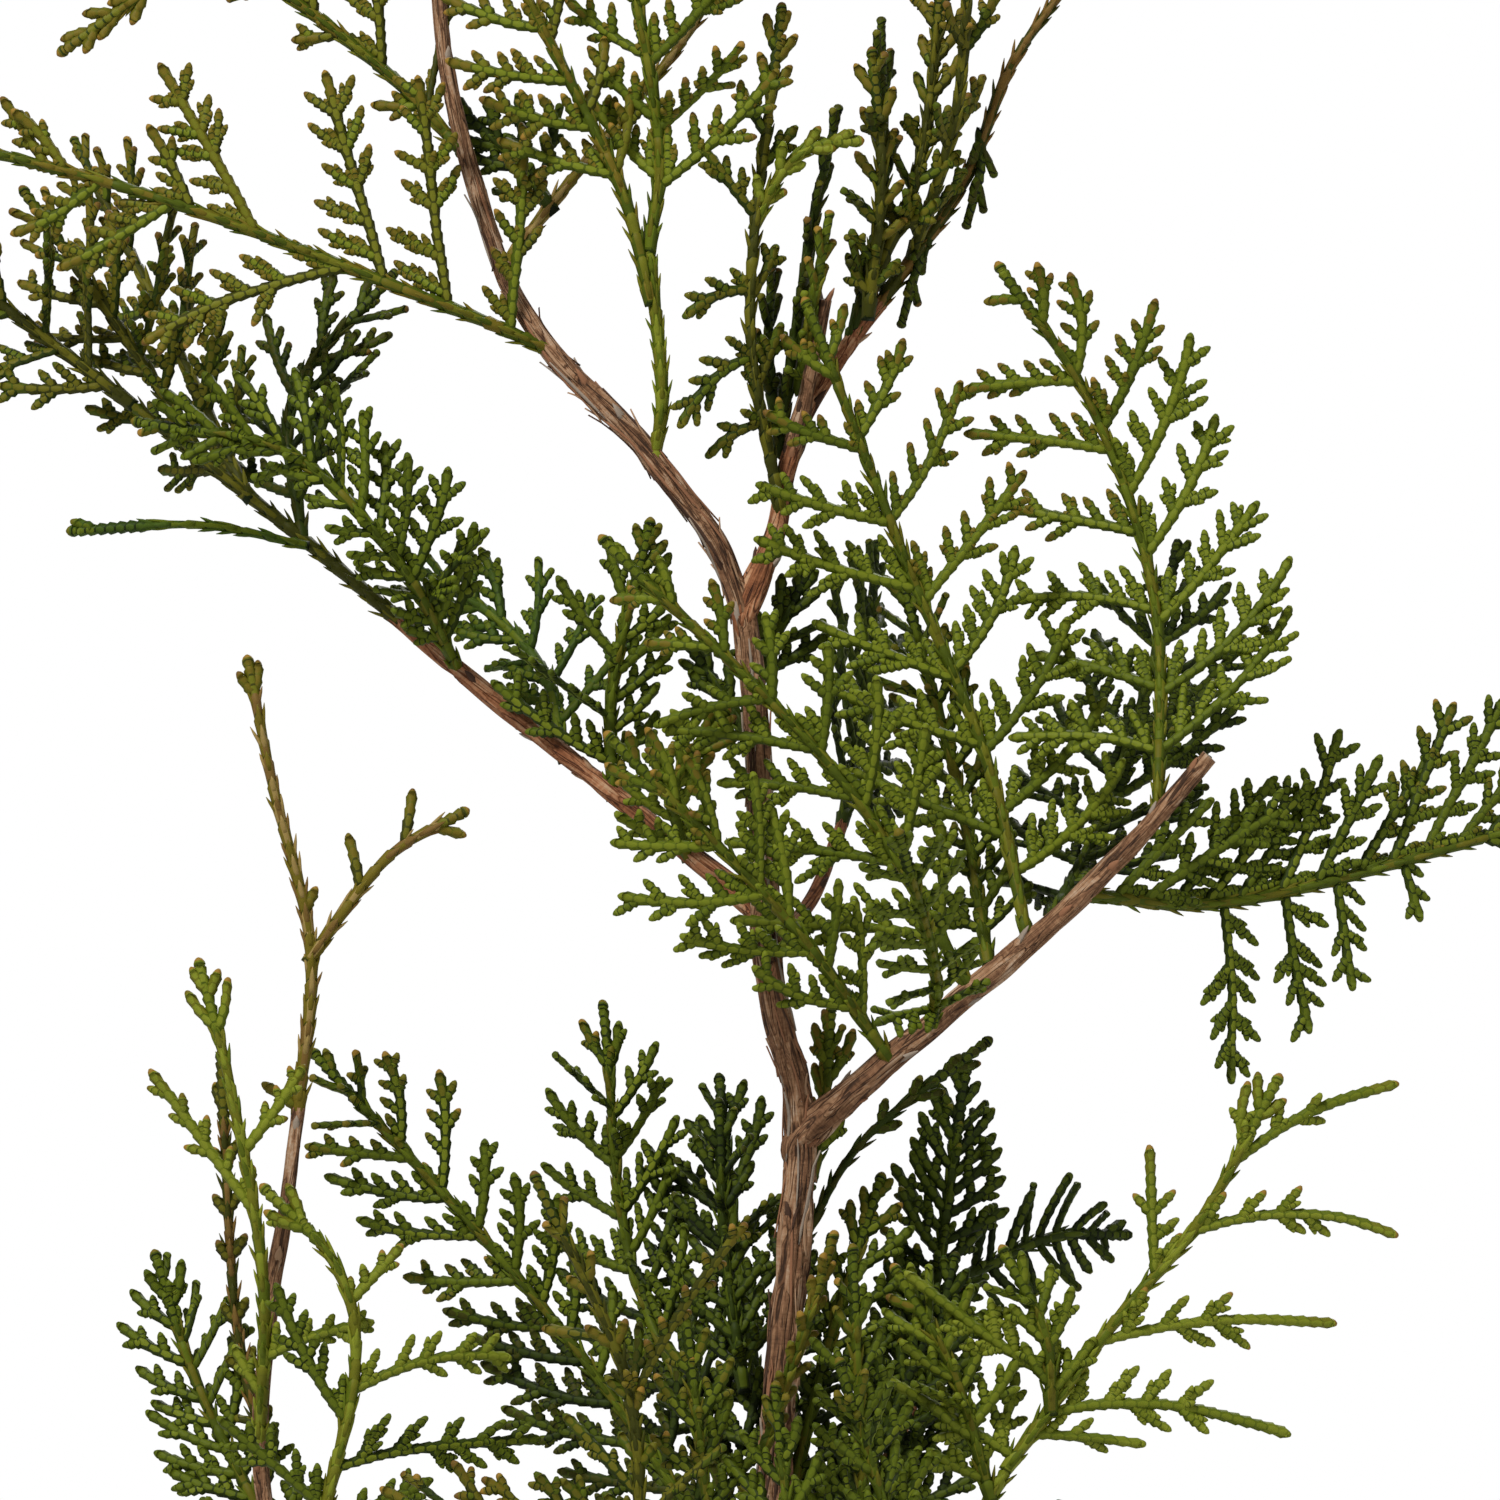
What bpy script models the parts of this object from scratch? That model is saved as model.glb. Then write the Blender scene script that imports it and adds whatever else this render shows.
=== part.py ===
"""A young brabant arborvitae, rooted in the ground: a forked trunk, its boughs and its flat sprays.

Frame: +Z up, origin at the centre of the trunk's flat cut at ground level, +X to the right and
-Y towards the viewer. Routes and radii are written in millimetres and turned to metres by mm().

The rule of growth is the same for every spray. A stem leaves its limb and carries side twigs in
turn on its right and left, all in one plane. A side twig is as long as its spray's reach, less
near the tip, and stands here as one toothed blade or, where it is short, as one leaf of 8 faces.
"""

import math
import random

import bmesh
import bpy
from mathutils import Matrix, Vector
from mathutils.bvhtree import BVHTree

MILLIMETRE = 0.001
CLEARANCE = 0.35 * MILLIMETRE
SEAT_STEP = 0.1 * MILLIMETRE
SEAT_LIMIT = 14 * MILLIMETRE
GROUND_GAP = 3 * MILLIMETRE
WELD = 0.001 * MILLIMETRE

# Limbs
LIMB_STEP = 15 * MILLIMETRE
TRUNK_FLARE = 1.45
FLARE_HEIGHT = 14 * MILLIMETRE

# Sprays
STEM_STEP = 20 * MILLIMETRE
STEM_BASE_RADIUS = 1.15 * MILLIMETRE
STEM_TIP_RADIUS = 0.5 * MILLIMETRE
BLADE_THICKNESS = 1.1 * MILLIMETRE
BLADE_WIDTH = 0.46
BLADE_ROOT = 0.1
BLADE_FOOT = 0.16
NOTCH = 0.2
NOTCH_BACK = 0.03
PITCH = 0.42
SHORTEST_PITCH = 4.5 * MILLIMETRE
PITCH_CHANGE = 0.15
LEAF_WIDTH = 0.42
TOOTH_LENGTH = 13 * MILLIMETRE
LEAF_UNDER = 9.5 * MILLIMETRE
SHORTEST_TWIG = 3.6 * MILLIMETRE
FIRST_TWIG = 0.16
TAPER = 1.6
TWIG_ANGLE = math.radians(48)
TWIST = math.radians(9)
LIFT = 0.12


def mm(*values):
    return Vector(values) * MILLIMETRE


# name: what carries it, its route, and its radius at the foot and at the end, all in mm
LIMBS = {
    "trunk": dict(
        on=None,
        route=[(0, 0, 0), (0, 0, 10), (1, 0, 60), (0, 0, 110), (0, 0, 156), (4, 0, 208), (-1, -2, 236),
               (-5, 0, 291), (-19, -2, 316), (-36, -1, 334), (-46, 1, 354), (-54, 3, 395), (-47, 5, 460),
               (-43, 4, 500)],
        radius=(3.8, 0.5),
    ),
    "right_bough": dict(
        on="trunk", route=[(4, 0, 208), (20, -4, 222), (49, -8, 247), (69, -10, 269)], radius=(2.4, 1.4)
    ),
    "left_bough": dict(
        on="trunk",
        route=[(-2, 0, 244), (-12, 2, 252), (-51, 7, 283), (-76, 9, 304), (-104, 9, 326)],
        radius=(1.8, 1.0),
    ),
    "right_leader": dict(
        on="trunk",
        route=[(-5, 0, 291), (0, 2, 305), (6, 4, 326), (29, 10, 359), (38, 12, 380), (49, 13, 396)],
        radius=(1.8, 0.8),
    ),
    "pruned_stub": dict(on="right_leader", route=[(3, 3, 318), (6, 0, 331), (8, -2, 342)], radius=(1.3, 1.1)),
    "crossing_branch": dict(
        on="trunk", route=[(-43, 0, 347), (-37, 4, 356), (-15, 11, 384), (-9, 12, 396)], radius=(1.2, 0.8)
    ),
    "green_shoot": dict(
        on="trunk", route=[(-19, -2, 316), (-18, -6, 327), (-20, -8, 350)], radius=(1.3, 1.1)
    ),
    "back_bough": dict(on="trunk", route=[(-1, -2, 236), (6, 16, 246), (11, 31, 258)], radius=(1.4, 1.0)),
    "left_low_bough": dict(
        on="trunk",
        route=[(1, 0, 62), (-25, -5, 84), (-55, -9, 110), (-81, -10, 150), (-76, -7, 213)],
        radius=(1.9, 1.1),
    ),
    "right_low_bough": dict(on="trunk", route=[(0, 0, 96), (17, -9, 121), (37, -19, 157)], radius=(1.8, 1.2)),
    "front_low_bough": dict(
        on="trunk", route=[(1, 0, 54), (-9, -26, 86), (-21, -48, 143)], radius=(1.6, 1.0)
    ),
    "back_low_bough": dict(on="trunk", route=[(0, 0, 112), (12, 18, 140), (31, 30, 184)], radius=(1.5, 1.0)),
    "near_left_low_bough": dict(
        on="trunk", route=[(1, 0, 40), (-28, -20, 72), (-72, -27, 146)], radius=(1.7, 1.1)
    ),
}

# name: what carries it, its stem's route in mm, the yaw of its face in degrees (0 looks at the viewer),
# and how far its side twigs reach on the left and on the right in mm. A sparse spray also has its own
# pitch in mm, and forks: the share of the stem, the side, the length in mm and the angle of each
SPRAYS = {
    "right_inner_spray": dict(
        on="right_bough", yaw=12, reach=(21, 17), tone="bright",
        stem=[(18, -5, 221), (2, -17, 243), (-26, -29, 272)],
    ),
    "right_crossing_spray": dict(
        on="right_bough", yaw=-12, reach=(32, 24), tone="bright",
        stem=[(31, -6, 232), (10, -13, 266), (-27, -22, 303)],
    ),
    "right_middle_spray": dict(
        on="right_bough", yaw=16, reach=(28, 29), tone="bright",
        stem=[(40, -7, 241), (34, 1, 268), (21, 0, 300), (5, -8, 341)],
    ),
    "right_outer_spray": dict(
        on="right_bough", yaw=-14, reach=(26, 31), tone="bright",
        stem=[(61, -9, 259), (61, 6, 294), (51, 6, 325), (36, -2, 347)],
    ),
    "right_reaching_spray": dict(
        on="right_bough", yaw=8, reach=(36, 28), tone="mid",
        stem=[(49, -8, 247), (76, 6, 246), (130, 20, 260)],
    ),
    "right_back_spray": dict(
        on="right_bough", yaw=-18, reach=(25, 23), tone="dark",
        stem=[(44, -7, 243), (53, 20, 259), (62, 46, 283), (67, 62, 304)],
    ),
    "left_inner_spray": dict(
        on="left_bough", yaw=0, reach=(12, 9), tone="mid",
        stem=[(-14, 2, 253), (-16, -7, 264), (-8, -10, 276)],
    ),
    "left_middle_spray": dict(
        on="left_bough", yaw=10, reach=(24, 14), tone="mid",
        stem=[(-26, 4, 261), (-26, 1, 280), (-20, -4, 306)],
    ),
    "left_back_spray": dict(
        on="left_bough", yaw=-12, reach=(14, 19), tone="mid",
        stem=[(-34, 6, 269), (-37, 16, 282), (-46, 25, 292), (-59, 32, 300)],
    ),
    "left_bright_spray": dict(
        on="left_bough", yaw=14, reach=(24, 23), tone="bright",
        stem=[(-51, 7, 283), (-60, -9, 300), (-77, -12, 317), (-101, -14, 322)],
    ),
    "left_dark_spray": dict(
        on="left_bough", yaw=-32, reach=(19, 19), tone="dark",
        stem=[(-76, 9, 304), (-78, 19, 327), (-62, 22, 347)],
    ),
    "left_upright_spray": dict(
        on="left_bough", yaw=-20, reach=(15, 17), tone="bronze",
        stem=[(-92, 9, 317), (-105, 13, 337), (-121, 13, 360)],
    ),
    "left_far_spray": dict(
        on="left_bough", yaw=-52, reach=(20, 21), tone="bronze",
        stem=[(-85, 9, 311), (-101, 31, 343), (-115, 46, 370)],
    ),
    "left_bough_tip": dict(
        on="left_bough", yaw=6, reach=(18, 17), tone="bronze",
        stem=[(-104, 9, 326), (-125, 9, 342), (-143, 8, 354)],
    ),
    "upper_left_spray": dict(
        on="trunk", yaw=4, reach=(16, 14), tone="mid", pitch=19,
        stem=[(-36, -1, 334), (-53, -6, 341), (-99, -11, 358), (-137, -11, 368)],
        forks=((0.08, 1, 29, 67), (0.18, 1, 36, 60), (0.28, 1, 34, 53), (0.48, 1, 30, 43), (0.34, -1, 34, 42),
               (0.61, -1, 20, 50)),
    ),
    "top_left_spray": dict(
        on="trunk", yaw=-8, reach=(13, 27), tone="bronze",
        stem=[(-51, 2, 367), (-65, 5, 381), (-90, 4, 397), (-121, 2, 399)],
    ),
    "green_shoot_left_spray": dict(
        on="green_shoot", yaw=10, reach=(20, 14), tone="bright",
        stem=[(-20, -8, 342), (-24, -9, 358), (-33, -11, 377), (-49, -14, 408)],
    ),
    "green_shoot_tip": dict(
        on="green_shoot", yaw=-14, reach=(17, 24), tone="bright",
        stem=[(-20, -8, 350), (-19, -8, 372), (-31, -12, 432)],
    ),
    "centre_spray": dict(
        on="right_leader", yaw=26, reach=(18, 17), tone="dark",
        stem=[(1, 2, 308), (-4, -5, 340), (1, -6, 388)],
    ),
    "leader_inner_spray": dict(
        on="right_leader", yaw=64, reach=(19, 19), tone="bronze",
        stem=[(12, 6, 335), (17, 1, 358), (17, -2, 386)],
    ),
    "leader_outer_spray": dict(
        on="right_leader", yaw=50, reach=(19, 19), tone="bronze",
        stem=[(22, 8, 349), (29, -3, 372), (31, -7, 400)],
    ),
    "right_leader_tip": dict(
        on="right_leader", yaw=-30, reach=(20, 20), tone="bronze",
        stem=[(49, 13, 396), (57, 14, 418), (60, 12, 448)],
    ),
    "crossing_branch_tip": dict(
        on="crossing_branch", yaw=44, reach=(19, 19), tone="bronze",
        stem=[(-9, 12, 396), (-4, 16, 418), (1, 20, 444)],
    ),
    "trunk_tip_spray": dict(
        on="trunk", yaw=16, reach=(15, 15), tone="bronze",
        stem=[(-43, 4, 500), (-42, 4, 522), (-40, 3, 550)],
    ),
    "trunk_top_left_spray": dict(
        on="trunk", yaw=-34, reach=(23, 22), tone="mid",
        stem=[(-53, 4, 410), (-63, -6, 431), (-76, -16, 462)],
    ),
    "trunk_top_right_spray": dict(
        on="trunk", yaw=38, reach=(22, 23), tone="mid", stem=[(-50, 4, 438), (-38, 13, 458), (-27, 21, 488)]
    ),
    "back_bough_spray": dict(
        on="back_bough", yaw=52, reach=(24, 26), tone="dark",
        stem=[(11, 31, 258), (15, 50, 277), (17, 68, 304)],
    ),
    "front_spray": dict(
        on="right_bough", yaw=8, reach=(20, 20), tone="bright",
        stem=[(25, -5, 226), (25, -28, 236), (19, -60, 257)],
    ),
    "left_shoot_tip": dict(
        on="left_low_bough", yaw=8, reach=(5, 6), tone="bronze", pitch=13, forks=((0.31, 1, 32, 46),),
        stem=[(-76, -7, 213), (-74, -6, 238), (-80, -6, 264), (-84, -6, 284)],
    ),
    "left_green_shoot": dict(
        on="left_low_bough", yaw=-10, reach=(19, 15), tone="bright", pitch=12,
        stem=[(-82, -10, 160), (-81, -18, 186), (-86, -19, 216), (-91, -19, 236)],
    ),
    "left_edge_spray": dict(
        on="left_low_bough", yaw=6, reach=(16, 16), tone="mid",
        stem=[(-78, -10, 141), (-92, -2, 168), (-99, -1, 189)],
    ),
    "near_left_spray": dict(
        on="near_left_low_bough", yaw=12, reach=(20, 27), tone="bright",
        stem=[(-72, -27, 146), (-66, -29, 173), (-69, -30, 189), (-80, -31, 201)],
    ),
    "mid_left_spray": dict(
        on="trunk", yaw=-12, reach=(22, 18), tone="mid", stem=[(0, 0, 128), (-34, 11, 176), (-74, 10, 221)]
    ),
    "behind_left_spray": dict(
        on="trunk", yaw=-24, reach=(21, 22), tone="mid", stem=[(1, 0, 142), (-22, 27, 182), (-28, 34, 228)]
    ),
    "behind_trunk_spray": dict(
        on="trunk", yaw=-6, reach=(20, 21), tone="dark", stem=[(1, 0, 152), (-5, 24, 180), (-9, 36, 216)]
    ),
    "behind_right_spray": dict(
        on="trunk", yaw=10, reach=(21, 20), tone="dark", stem=[(0, 0, 134), (22, 18, 168), (31, 20, 218)]
    ),
    "back_low_spray": dict(
        on="back_low_bough", yaw=34, reach=(15, 14), tone="dark",
        stem=[(31, 30, 184), (45, 40, 190), (58, 50, 190)],
    ),
    "front_low_spray": dict(
        on="front_low_bough", yaw=-14, reach=(14, 12), tone="bright", forks=((0.42, 1, 33, 36),),
        stem=[(-21, -48, 143), (-23, -53, 172), (-37, -59, 204)],
    ),
    "right_low_spray": dict(
        on="right_low_bough", yaw=10, reach=(18, 36), tone="bright", forks=((0.72, 1, 28, 42),),
        stem=[(37, -19, 157), (53, -22, 179), (67, -24, 196), (79, -26, 218)],
    ),
    "near_right_spray": dict(
        on="trunk", yaw=20, reach=(20, 21), tone="bright", stem=[(0, 0, 84), (13, -33, 130), (12, -44, 192)]
    ),
}

# The lowest sprays stand round the trunk by a rule: each starts higher than the last and turns by turn
LOWEST = dict(count=7, first_height=17, rise=11.5, turn=137.5, start=212, outward=86, upward=66, shrink=0.05,
              twist=50, reach=28)
# How far out and how high along its stem a lowest spray has come, as shares of outward and upward
LOWEST_SHARES = ((0.0, 0.0), (0.55, 0.34), (1.0, 1.0))


def smooth_route(points, step):
    """Points about a step apart on a smooth curve through the given ones."""
    ends = [2 * points[0] - points[1], *points, 2 * points[-1] - points[-2]]
    found = []
    for before, a, b, after in zip(ends, ends[1:], ends[2:], ends[3:]):
        pieces = max(1, round((b - a).length / step))
        for i in range(pieces):
            t = i / pieces
            bend = (
                2 * a
                + (b - before) * t
                + (2 * before - 5 * a + 4 * b - after) * t**2
                + (3 * a - before - 3 * b + after) * t**3
            )
            found.append(bend / 2)
    return [*found, points[-1].copy()]


def distances(points):
    """How far along the route each point lies."""
    so_far = [0.0]
    for a, b in zip(points, points[1:]):
        so_far.append(so_far[-1] + (b - a).length)
    return so_far


def place_at(points, along):
    """The point that lies a distance along the route, and the direction there."""
    so_far = distances(points)
    for i in range(len(points) - 1):
        if along <= so_far[i + 1] or i == len(points) - 2:
            direction = (points[i + 1] - points[i]).normalized()
            return points[i] + direction * (along - so_far[i]), direction


def face_at(direction, yaw):
    """The spray's normal: it looks at the viewer, turned by yaw, and is square to the stem."""
    towards = Vector((math.sin(yaw), -math.cos(yaw), 0.0))
    across = direction.cross(towards)
    if across.length < 0.05:
        across = direction.cross(Vector((1.0, 0.0, 0.0)))
    return across.cross(direction).normalized()


def outside_by(tree, point):
    """How far a point lies outside a closed mesh; negative inside it."""
    near, normal, _, distance = tree.find_nearest(point)
    return distance if (point - near).dot(normal) > 0 else -distance


def seated(route, radius, tree):
    """The route without its first stretch, so that its flat end just clears what carries it."""
    along = 0.0
    while along < SEAT_LIMIT:
        centre, direction = place_at(route, along)
        side = direction.orthogonal().normalized()
        rim = [
            centre + Matrix.Rotation(math.tau * i / 12, 3, direction) @ side * radius for i in range(12)
        ]
        if min(outside_by(tree, p) for p in [centre, *rim]) > CLEARANCE:
            break
        along += SEAT_STEP
    kept = [p for p, d in zip(route, distances(route)) if d > along + STEM_TIP_RADIUS]
    return [centre, *kept]


def tube(name, route, radii, profile=None):
    """A closed mesh object round a route. A profile curve gives its section, or else it is round."""
    curve = bpy.data.curves.new(name, "CURVE")
    curve.dimensions = "3D"
    curve.use_fill_caps = True
    if profile:
        curve.bevel_mode = "OBJECT"
        curve.bevel_object = profile
    else:
        curve.bevel_depth = MILLIMETRE
        curve.bevel_resolution = 2
    spline = curve.splines.new("POLY")
    spline.points.add(len(route) - 1)
    for point, place, radius in zip(spline.points, route, radii):
        point.co = (*place, 1.0)
        point.radius = radius / MILLIMETRE
    return as_mesh(bpy.data.objects.new(name, curve))


def as_mesh(shape):
    """The mesh object of a curve object, with its caps welded on. The curve is removed."""
    bpy.context.scene.collection.objects.link(shape)
    bpy.context.view_layer.update()
    graph = bpy.context.evaluated_depsgraph_get()
    mesh = bpy.data.meshes.new_from_object(shape.evaluated_get(graph))
    name, matrix = shape.name, shape.matrix_world.copy()
    bpy.data.objects.remove(shape)
    work = bmesh.new()
    work.from_mesh(mesh)
    bmesh.ops.remove_doubles(work, verts=work.verts, dist=WELD)
    bmesh.ops.recalc_face_normals(work, faces=work.faces)
    work.to_mesh(mesh)
    work.free()
    made = bpy.data.objects.new(name, mesh)
    made.matrix_world = matrix
    return made


def three_sided_profile():
    """A triangle of radius 1 mm, the section of the stems."""
    curve = bpy.data.curves.new("stem_section", "CURVE")
    curve.dimensions = "2D"
    spline = curve.splines.new("POLY")
    spline.points.add(2)
    for i, point in enumerate(spline.points):
        turn = math.tau * i / 3
        point.co = (math.cos(turn) * MILLIMETRE, math.sin(turn) * MILLIMETRE, 0.0, 1.0)
    spline.use_cyclic_u = True
    section = bpy.data.objects.new("stem_section", curve)
    section.hide_render = True
    bpy.context.scene.collection.objects.link(section)
    return section


def blade_mesh(teeth):
    """A flat blade of length 1 and width 1 along +Y, with teeth that point forward on both edges."""
    edge = [(BLADE_ROOT, 0.0)]
    for i in range(teeth):
        full = math.sin(math.pi * (i + 1.1) / (teeth + 1.4))
        tooth = BLADE_FOOT + (1 - BLADE_FOOT) * (i + 0.7) / (teeth + 0.7)
        edge.append((0.5 * full, tooth))
        if i < teeth - 1:
            edge.append((NOTCH * full, tooth - NOTCH_BACK))
    outline = [*edge, (0.0, 1.0), *[(-x, y) for x, y in reversed(edge)]]
    curve = bpy.data.curves.new("blade", "CURVE")
    curve.dimensions = "2D"
    curve.fill_mode = "BOTH"
    curve.extrude = 0.5
    spline = curve.splines.new("POLY")
    spline.points.add(len(outline) - 1)
    for point, (x, y) in zip(spline.points, outline):
        point.co = (x, y, 0.0, 1.0)
    spline.use_cyclic_u = True
    blade = as_mesh(bpy.data.objects.new("blade", curve))
    mesh = blade.data
    bpy.data.objects.remove(blade)
    return mesh


def leaf_mesh():
    """A leaf of 8 faces, of length 1, width 1 and thickness 1 along +Y, widest near its middle."""
    work = bmesh.new()
    bmesh.ops.create_uvsphere(work, u_segments=4, v_segments=2, radius=0.5)
    bmesh.ops.rotate(work, verts=work.verts, matrix=Matrix.Rotation(-math.pi / 2, 3, "X"))
    bmesh.ops.translate(work, verts=work.verts, vec=(0.0, 0.5, 0.0))
    mesh = bpy.data.meshes.new("leaf")
    work.to_mesh(mesh)
    work.free()
    return mesh


def blade_object(shape, root, direction, normal, length, width):
    """One copy of a blade or leaf, set with its root at a point and its flat face along the normal."""
    across = direction.cross(normal).normalized()
    turned = Matrix((across, direction, across.cross(direction))).transposed().to_4x4()
    size = Matrix.Diagonal((width, length, BLADE_THICKNESS, 1.0))
    mesh = shape.copy()
    mesh.transform(Matrix.Translation(root) @ turned @ size)
    return bpy.data.objects.new("blade", mesh)


def tree_of(obj):
    work = bmesh.new()
    work.from_mesh(obj.data)
    bmesh.ops.triangulate(work, faces=work.faces)
    tree = BVHTree.FromBMesh(work)
    work.free()
    return tree


def touches(obj, others):
    """True if a piece comes within the clearance of any tree, or reaches the ground."""
    tree = tree_of(obj)
    corners = [v.co for v in obj.data.vertices]
    between = [(corners[e.vertices[0]] + corners[e.vertices[1]]) / 2 for e in obj.data.edges]
    if min(p.z for p in corners) < GROUND_GAP:
        return True
    for other in others:
        if tree.overlap(other):
            return True
        if any(other.find_nearest(p, CLEARANCE)[0] for p in [*corners, *between]):
            return True
    return False


def side_twigs(stem, spray, chance):
    """The growth rule. Yields (root, direction, face, length) of each side twig, from the foot up."""
    total = distances(stem)[-1]
    left, right = (reach * MILLIMETRE for reach in spray["reach"])
    pitch = max(SHORTEST_PITCH, PITCH * (left + right) / 2)
    if "pitch" in spray:
        pitch = spray["pitch"] * MILLIMETRE
    twigs = [
        (share * total, side, length * MILLIMETRE, math.radians(angle))
        for share, side, length, angle in spray.get("forks", ())
    ]
    along = total * FIRST_TWIG
    side = chance.choice((-1, 1))
    while along < total - SHORTEST_TWIG:
        reach = right if side > 0 else left
        length = reach * min(1.0, (total - along) / (TAPER * reach)) ** 0.85 * chance.uniform(0.84, 1.08)
        if length > SHORTEST_TWIG:
            twigs.append((along, side, length, TWIG_ANGLE * chance.uniform(0.88, 1.14)))
        along += pitch * chance.uniform(1 - PITCH_CHANGE, 1 + PITCH_CHANGE)
        side = -side
    for along, side, length, angle in twigs:
        root, direction = place_at(stem, along)
        face = face_at(direction, math.radians(spray["yaw"]))
        outward = direction.cross(face) * side
        heading = direction * math.cos(angle) + outward * math.sin(angle) + face * chance.uniform(-LIFT, LIFT)
        yield root, heading.normalized(), face, length


def twig_piece(shapes, twig, chance):
    """The blade, or the leaf of 8 faces, that stands for one side twig."""
    root, heading, face, length = twig
    flat = (face - heading * face.dot(heading)).normalized()
    flat = Matrix.Rotation(chance.uniform(-TWIST, TWIST), 3, heading) @ flat
    if length < LEAF_UNDER:
        return blade_object(shapes[0], root, heading, flat, length, length * LEAF_WIDTH)
    teeth = max(1, min(3, round(length / TOOTH_LENGTH)))
    return blade_object(shapes[teeth], root, heading, flat, length, length * BLADE_WIDTH)


def fuse(stem, pieces):
    """Joins the pieces to the stem by one Boolean union, and drops any loose scrap."""
    joined = bpy.data.collections.new("joined_to_" + stem.name)
    bpy.context.scene.collection.children.link(joined)
    for piece in pieces:
        joined.objects.link(piece)
    bpy.context.scene.collection.objects.link(stem)
    union = stem.modifiers.new("union", "BOOLEAN")
    union.operation = "UNION"
    union.operand_type = "COLLECTION"
    union.collection = joined
    union.solver = "MANIFOLD"
    bpy.context.view_layer.update()
    mesh = bpy.data.meshes.new_from_object(stem.evaluated_get(bpy.context.evaluated_depsgraph_get()))
    stem.modifiers.clear()
    stem.data = mesh
    bpy.context.scene.collection.objects.unlink(stem)
    for piece in pieces:
        bpy.data.objects.remove(piece)
    bpy.data.collections.remove(joined)
    drop_scraps(mesh)


def drop_scraps(mesh):
    work = bmesh.new()
    work.from_mesh(mesh)
    left, bodies = set(work.verts), []
    while left:
        body, edge = set(), [next(iter(left))]
        while edge:
            v = edge.pop()
            if v not in body:
                body.add(v)
                edge.extend(e.other_vert(v) for e in v.link_edges)
        left -= body
        bodies.append(body)
    bodies.sort(key=len)
    bmesh.ops.delete(work, geom=[v for body in bodies[:-1] for v in body], context="VERTS")
    work.to_mesh(mesh)
    work.free()


def plain_material(name, colour, roughness):
    material = bpy.data.materials.new(name)
    material.use_nodes = True
    shader = material.node_tree.nodes["Principled BSDF"]
    shader.inputs["Base Color"].default_value = (*colour, 1.0)
    shader.inputs["Roughness"].default_value = roughness
    shader.inputs["Metallic"].default_value = 0.0
    material.diffuse_color = (*colour, 1.0)
    return material


def limb_radii(name, route, ends):
    """The radius at each point of a limb, in metres. The trunk flares where it meets the ground."""
    foot, tip = (radius * MILLIMETRE for radius in ends)
    so_far = distances(route)
    radii = []
    for place, along in zip(route, so_far):
        radius = foot + (tip - foot) * along / so_far[-1]
        if name == "trunk":
            radius *= 1 + (TRUNK_FLARE - 1) * max(0.0, 1 - place.z / FLARE_HEIGHT) ** 2
        radii.append(radius)
    return radii


def grow_limbs(plant, barks, trees):
    for name, limb in LIMBS.items():
        route = smooth_route([mm(*p) for p in limb["route"]], LIMB_STEP)
        if limb["on"]:
            route = seated(route, limb["radius"][0] * MILLIMETRE, trees[limb["on"]])
        made = tube(name, route, limb_radii(name, route, limb["radius"]))
        made.data.materials.append(barks["young" if name == "green_shoot" else "old"])
        made.data.shade_smooth()
        plant.objects.link(made)
        trees[name] = tree_of(made)


def lowest_sprays():
    """The sprays nearest the ground, each one turned and raised from the last."""
    rule = LOWEST
    for i in range(rule["count"]):
        turn = math.radians(rule["start"] + i * rule["turn"])
        height = rule["first_height"] + i * rule["rise"]
        outward = rule["outward"] * (1 - rule["shrink"] * i)
        stem = [
            (outward * out * math.cos(turn), outward * out * math.sin(turn), height + rule["upward"] * up)
            for out, up in LOWEST_SHARES
        ]
        yaw = math.degrees(turn) + 90 + rule["twist"] * (-1) ** i
        yield f"lowest_spray_{i + 1}", dict(
            on="trunk", yaw=yaw, reach=(rule["reach"], rule["reach"]), tone="mid", stem=stem
        )


def grow_sprays(plant, greens, trees):
    shapes = [leaf_mesh(), blade_mesh(1), blade_mesh(2), blade_mesh(3)]
    section = three_sided_profile()
    sprays = [*SPRAYS.items(), *lowest_sprays()]
    stems = {}
    for name, spray in sprays:
        route = smooth_route([mm(*p) for p in spray["stem"]], STEM_STEP)
        route = seated(route, STEM_BASE_RADIUS, trees[spray["on"]])
        radii = [
            STEM_BASE_RADIUS + (STEM_TIP_RADIUS - STEM_BASE_RADIUS) * i / (len(route) - 1)
            for i in range(len(route))
        ]
        stems[name] = route, tube(name, route, radii, section)
        trees[name] = tree_of(stems[name][1])
        for other, tree in trees.items():
            if other != name and trees[name].overlap(tree):
                print(f"{name} crosses {other}")
    for seed, (name, spray) in enumerate(sprays):
        route, made = stems[name]
        chance = random.Random(seed)
        others = [tree for other, tree in trees.items() if other != name]
        pieces = []
        for twig in side_twigs(route, spray, chance):
            piece = twig_piece(shapes, twig, chance)
            if touches(piece, others):
                bpy.data.objects.remove(piece)
            else:
                pieces.append(piece)
        fuse(made, pieces)
        made.data.materials.clear()
        made.data.materials.append(greens[spray["tone"]])
        plant.objects.link(made)
        trees[name] = tree_of(made)
    bpy.data.objects.remove(section)


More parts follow.
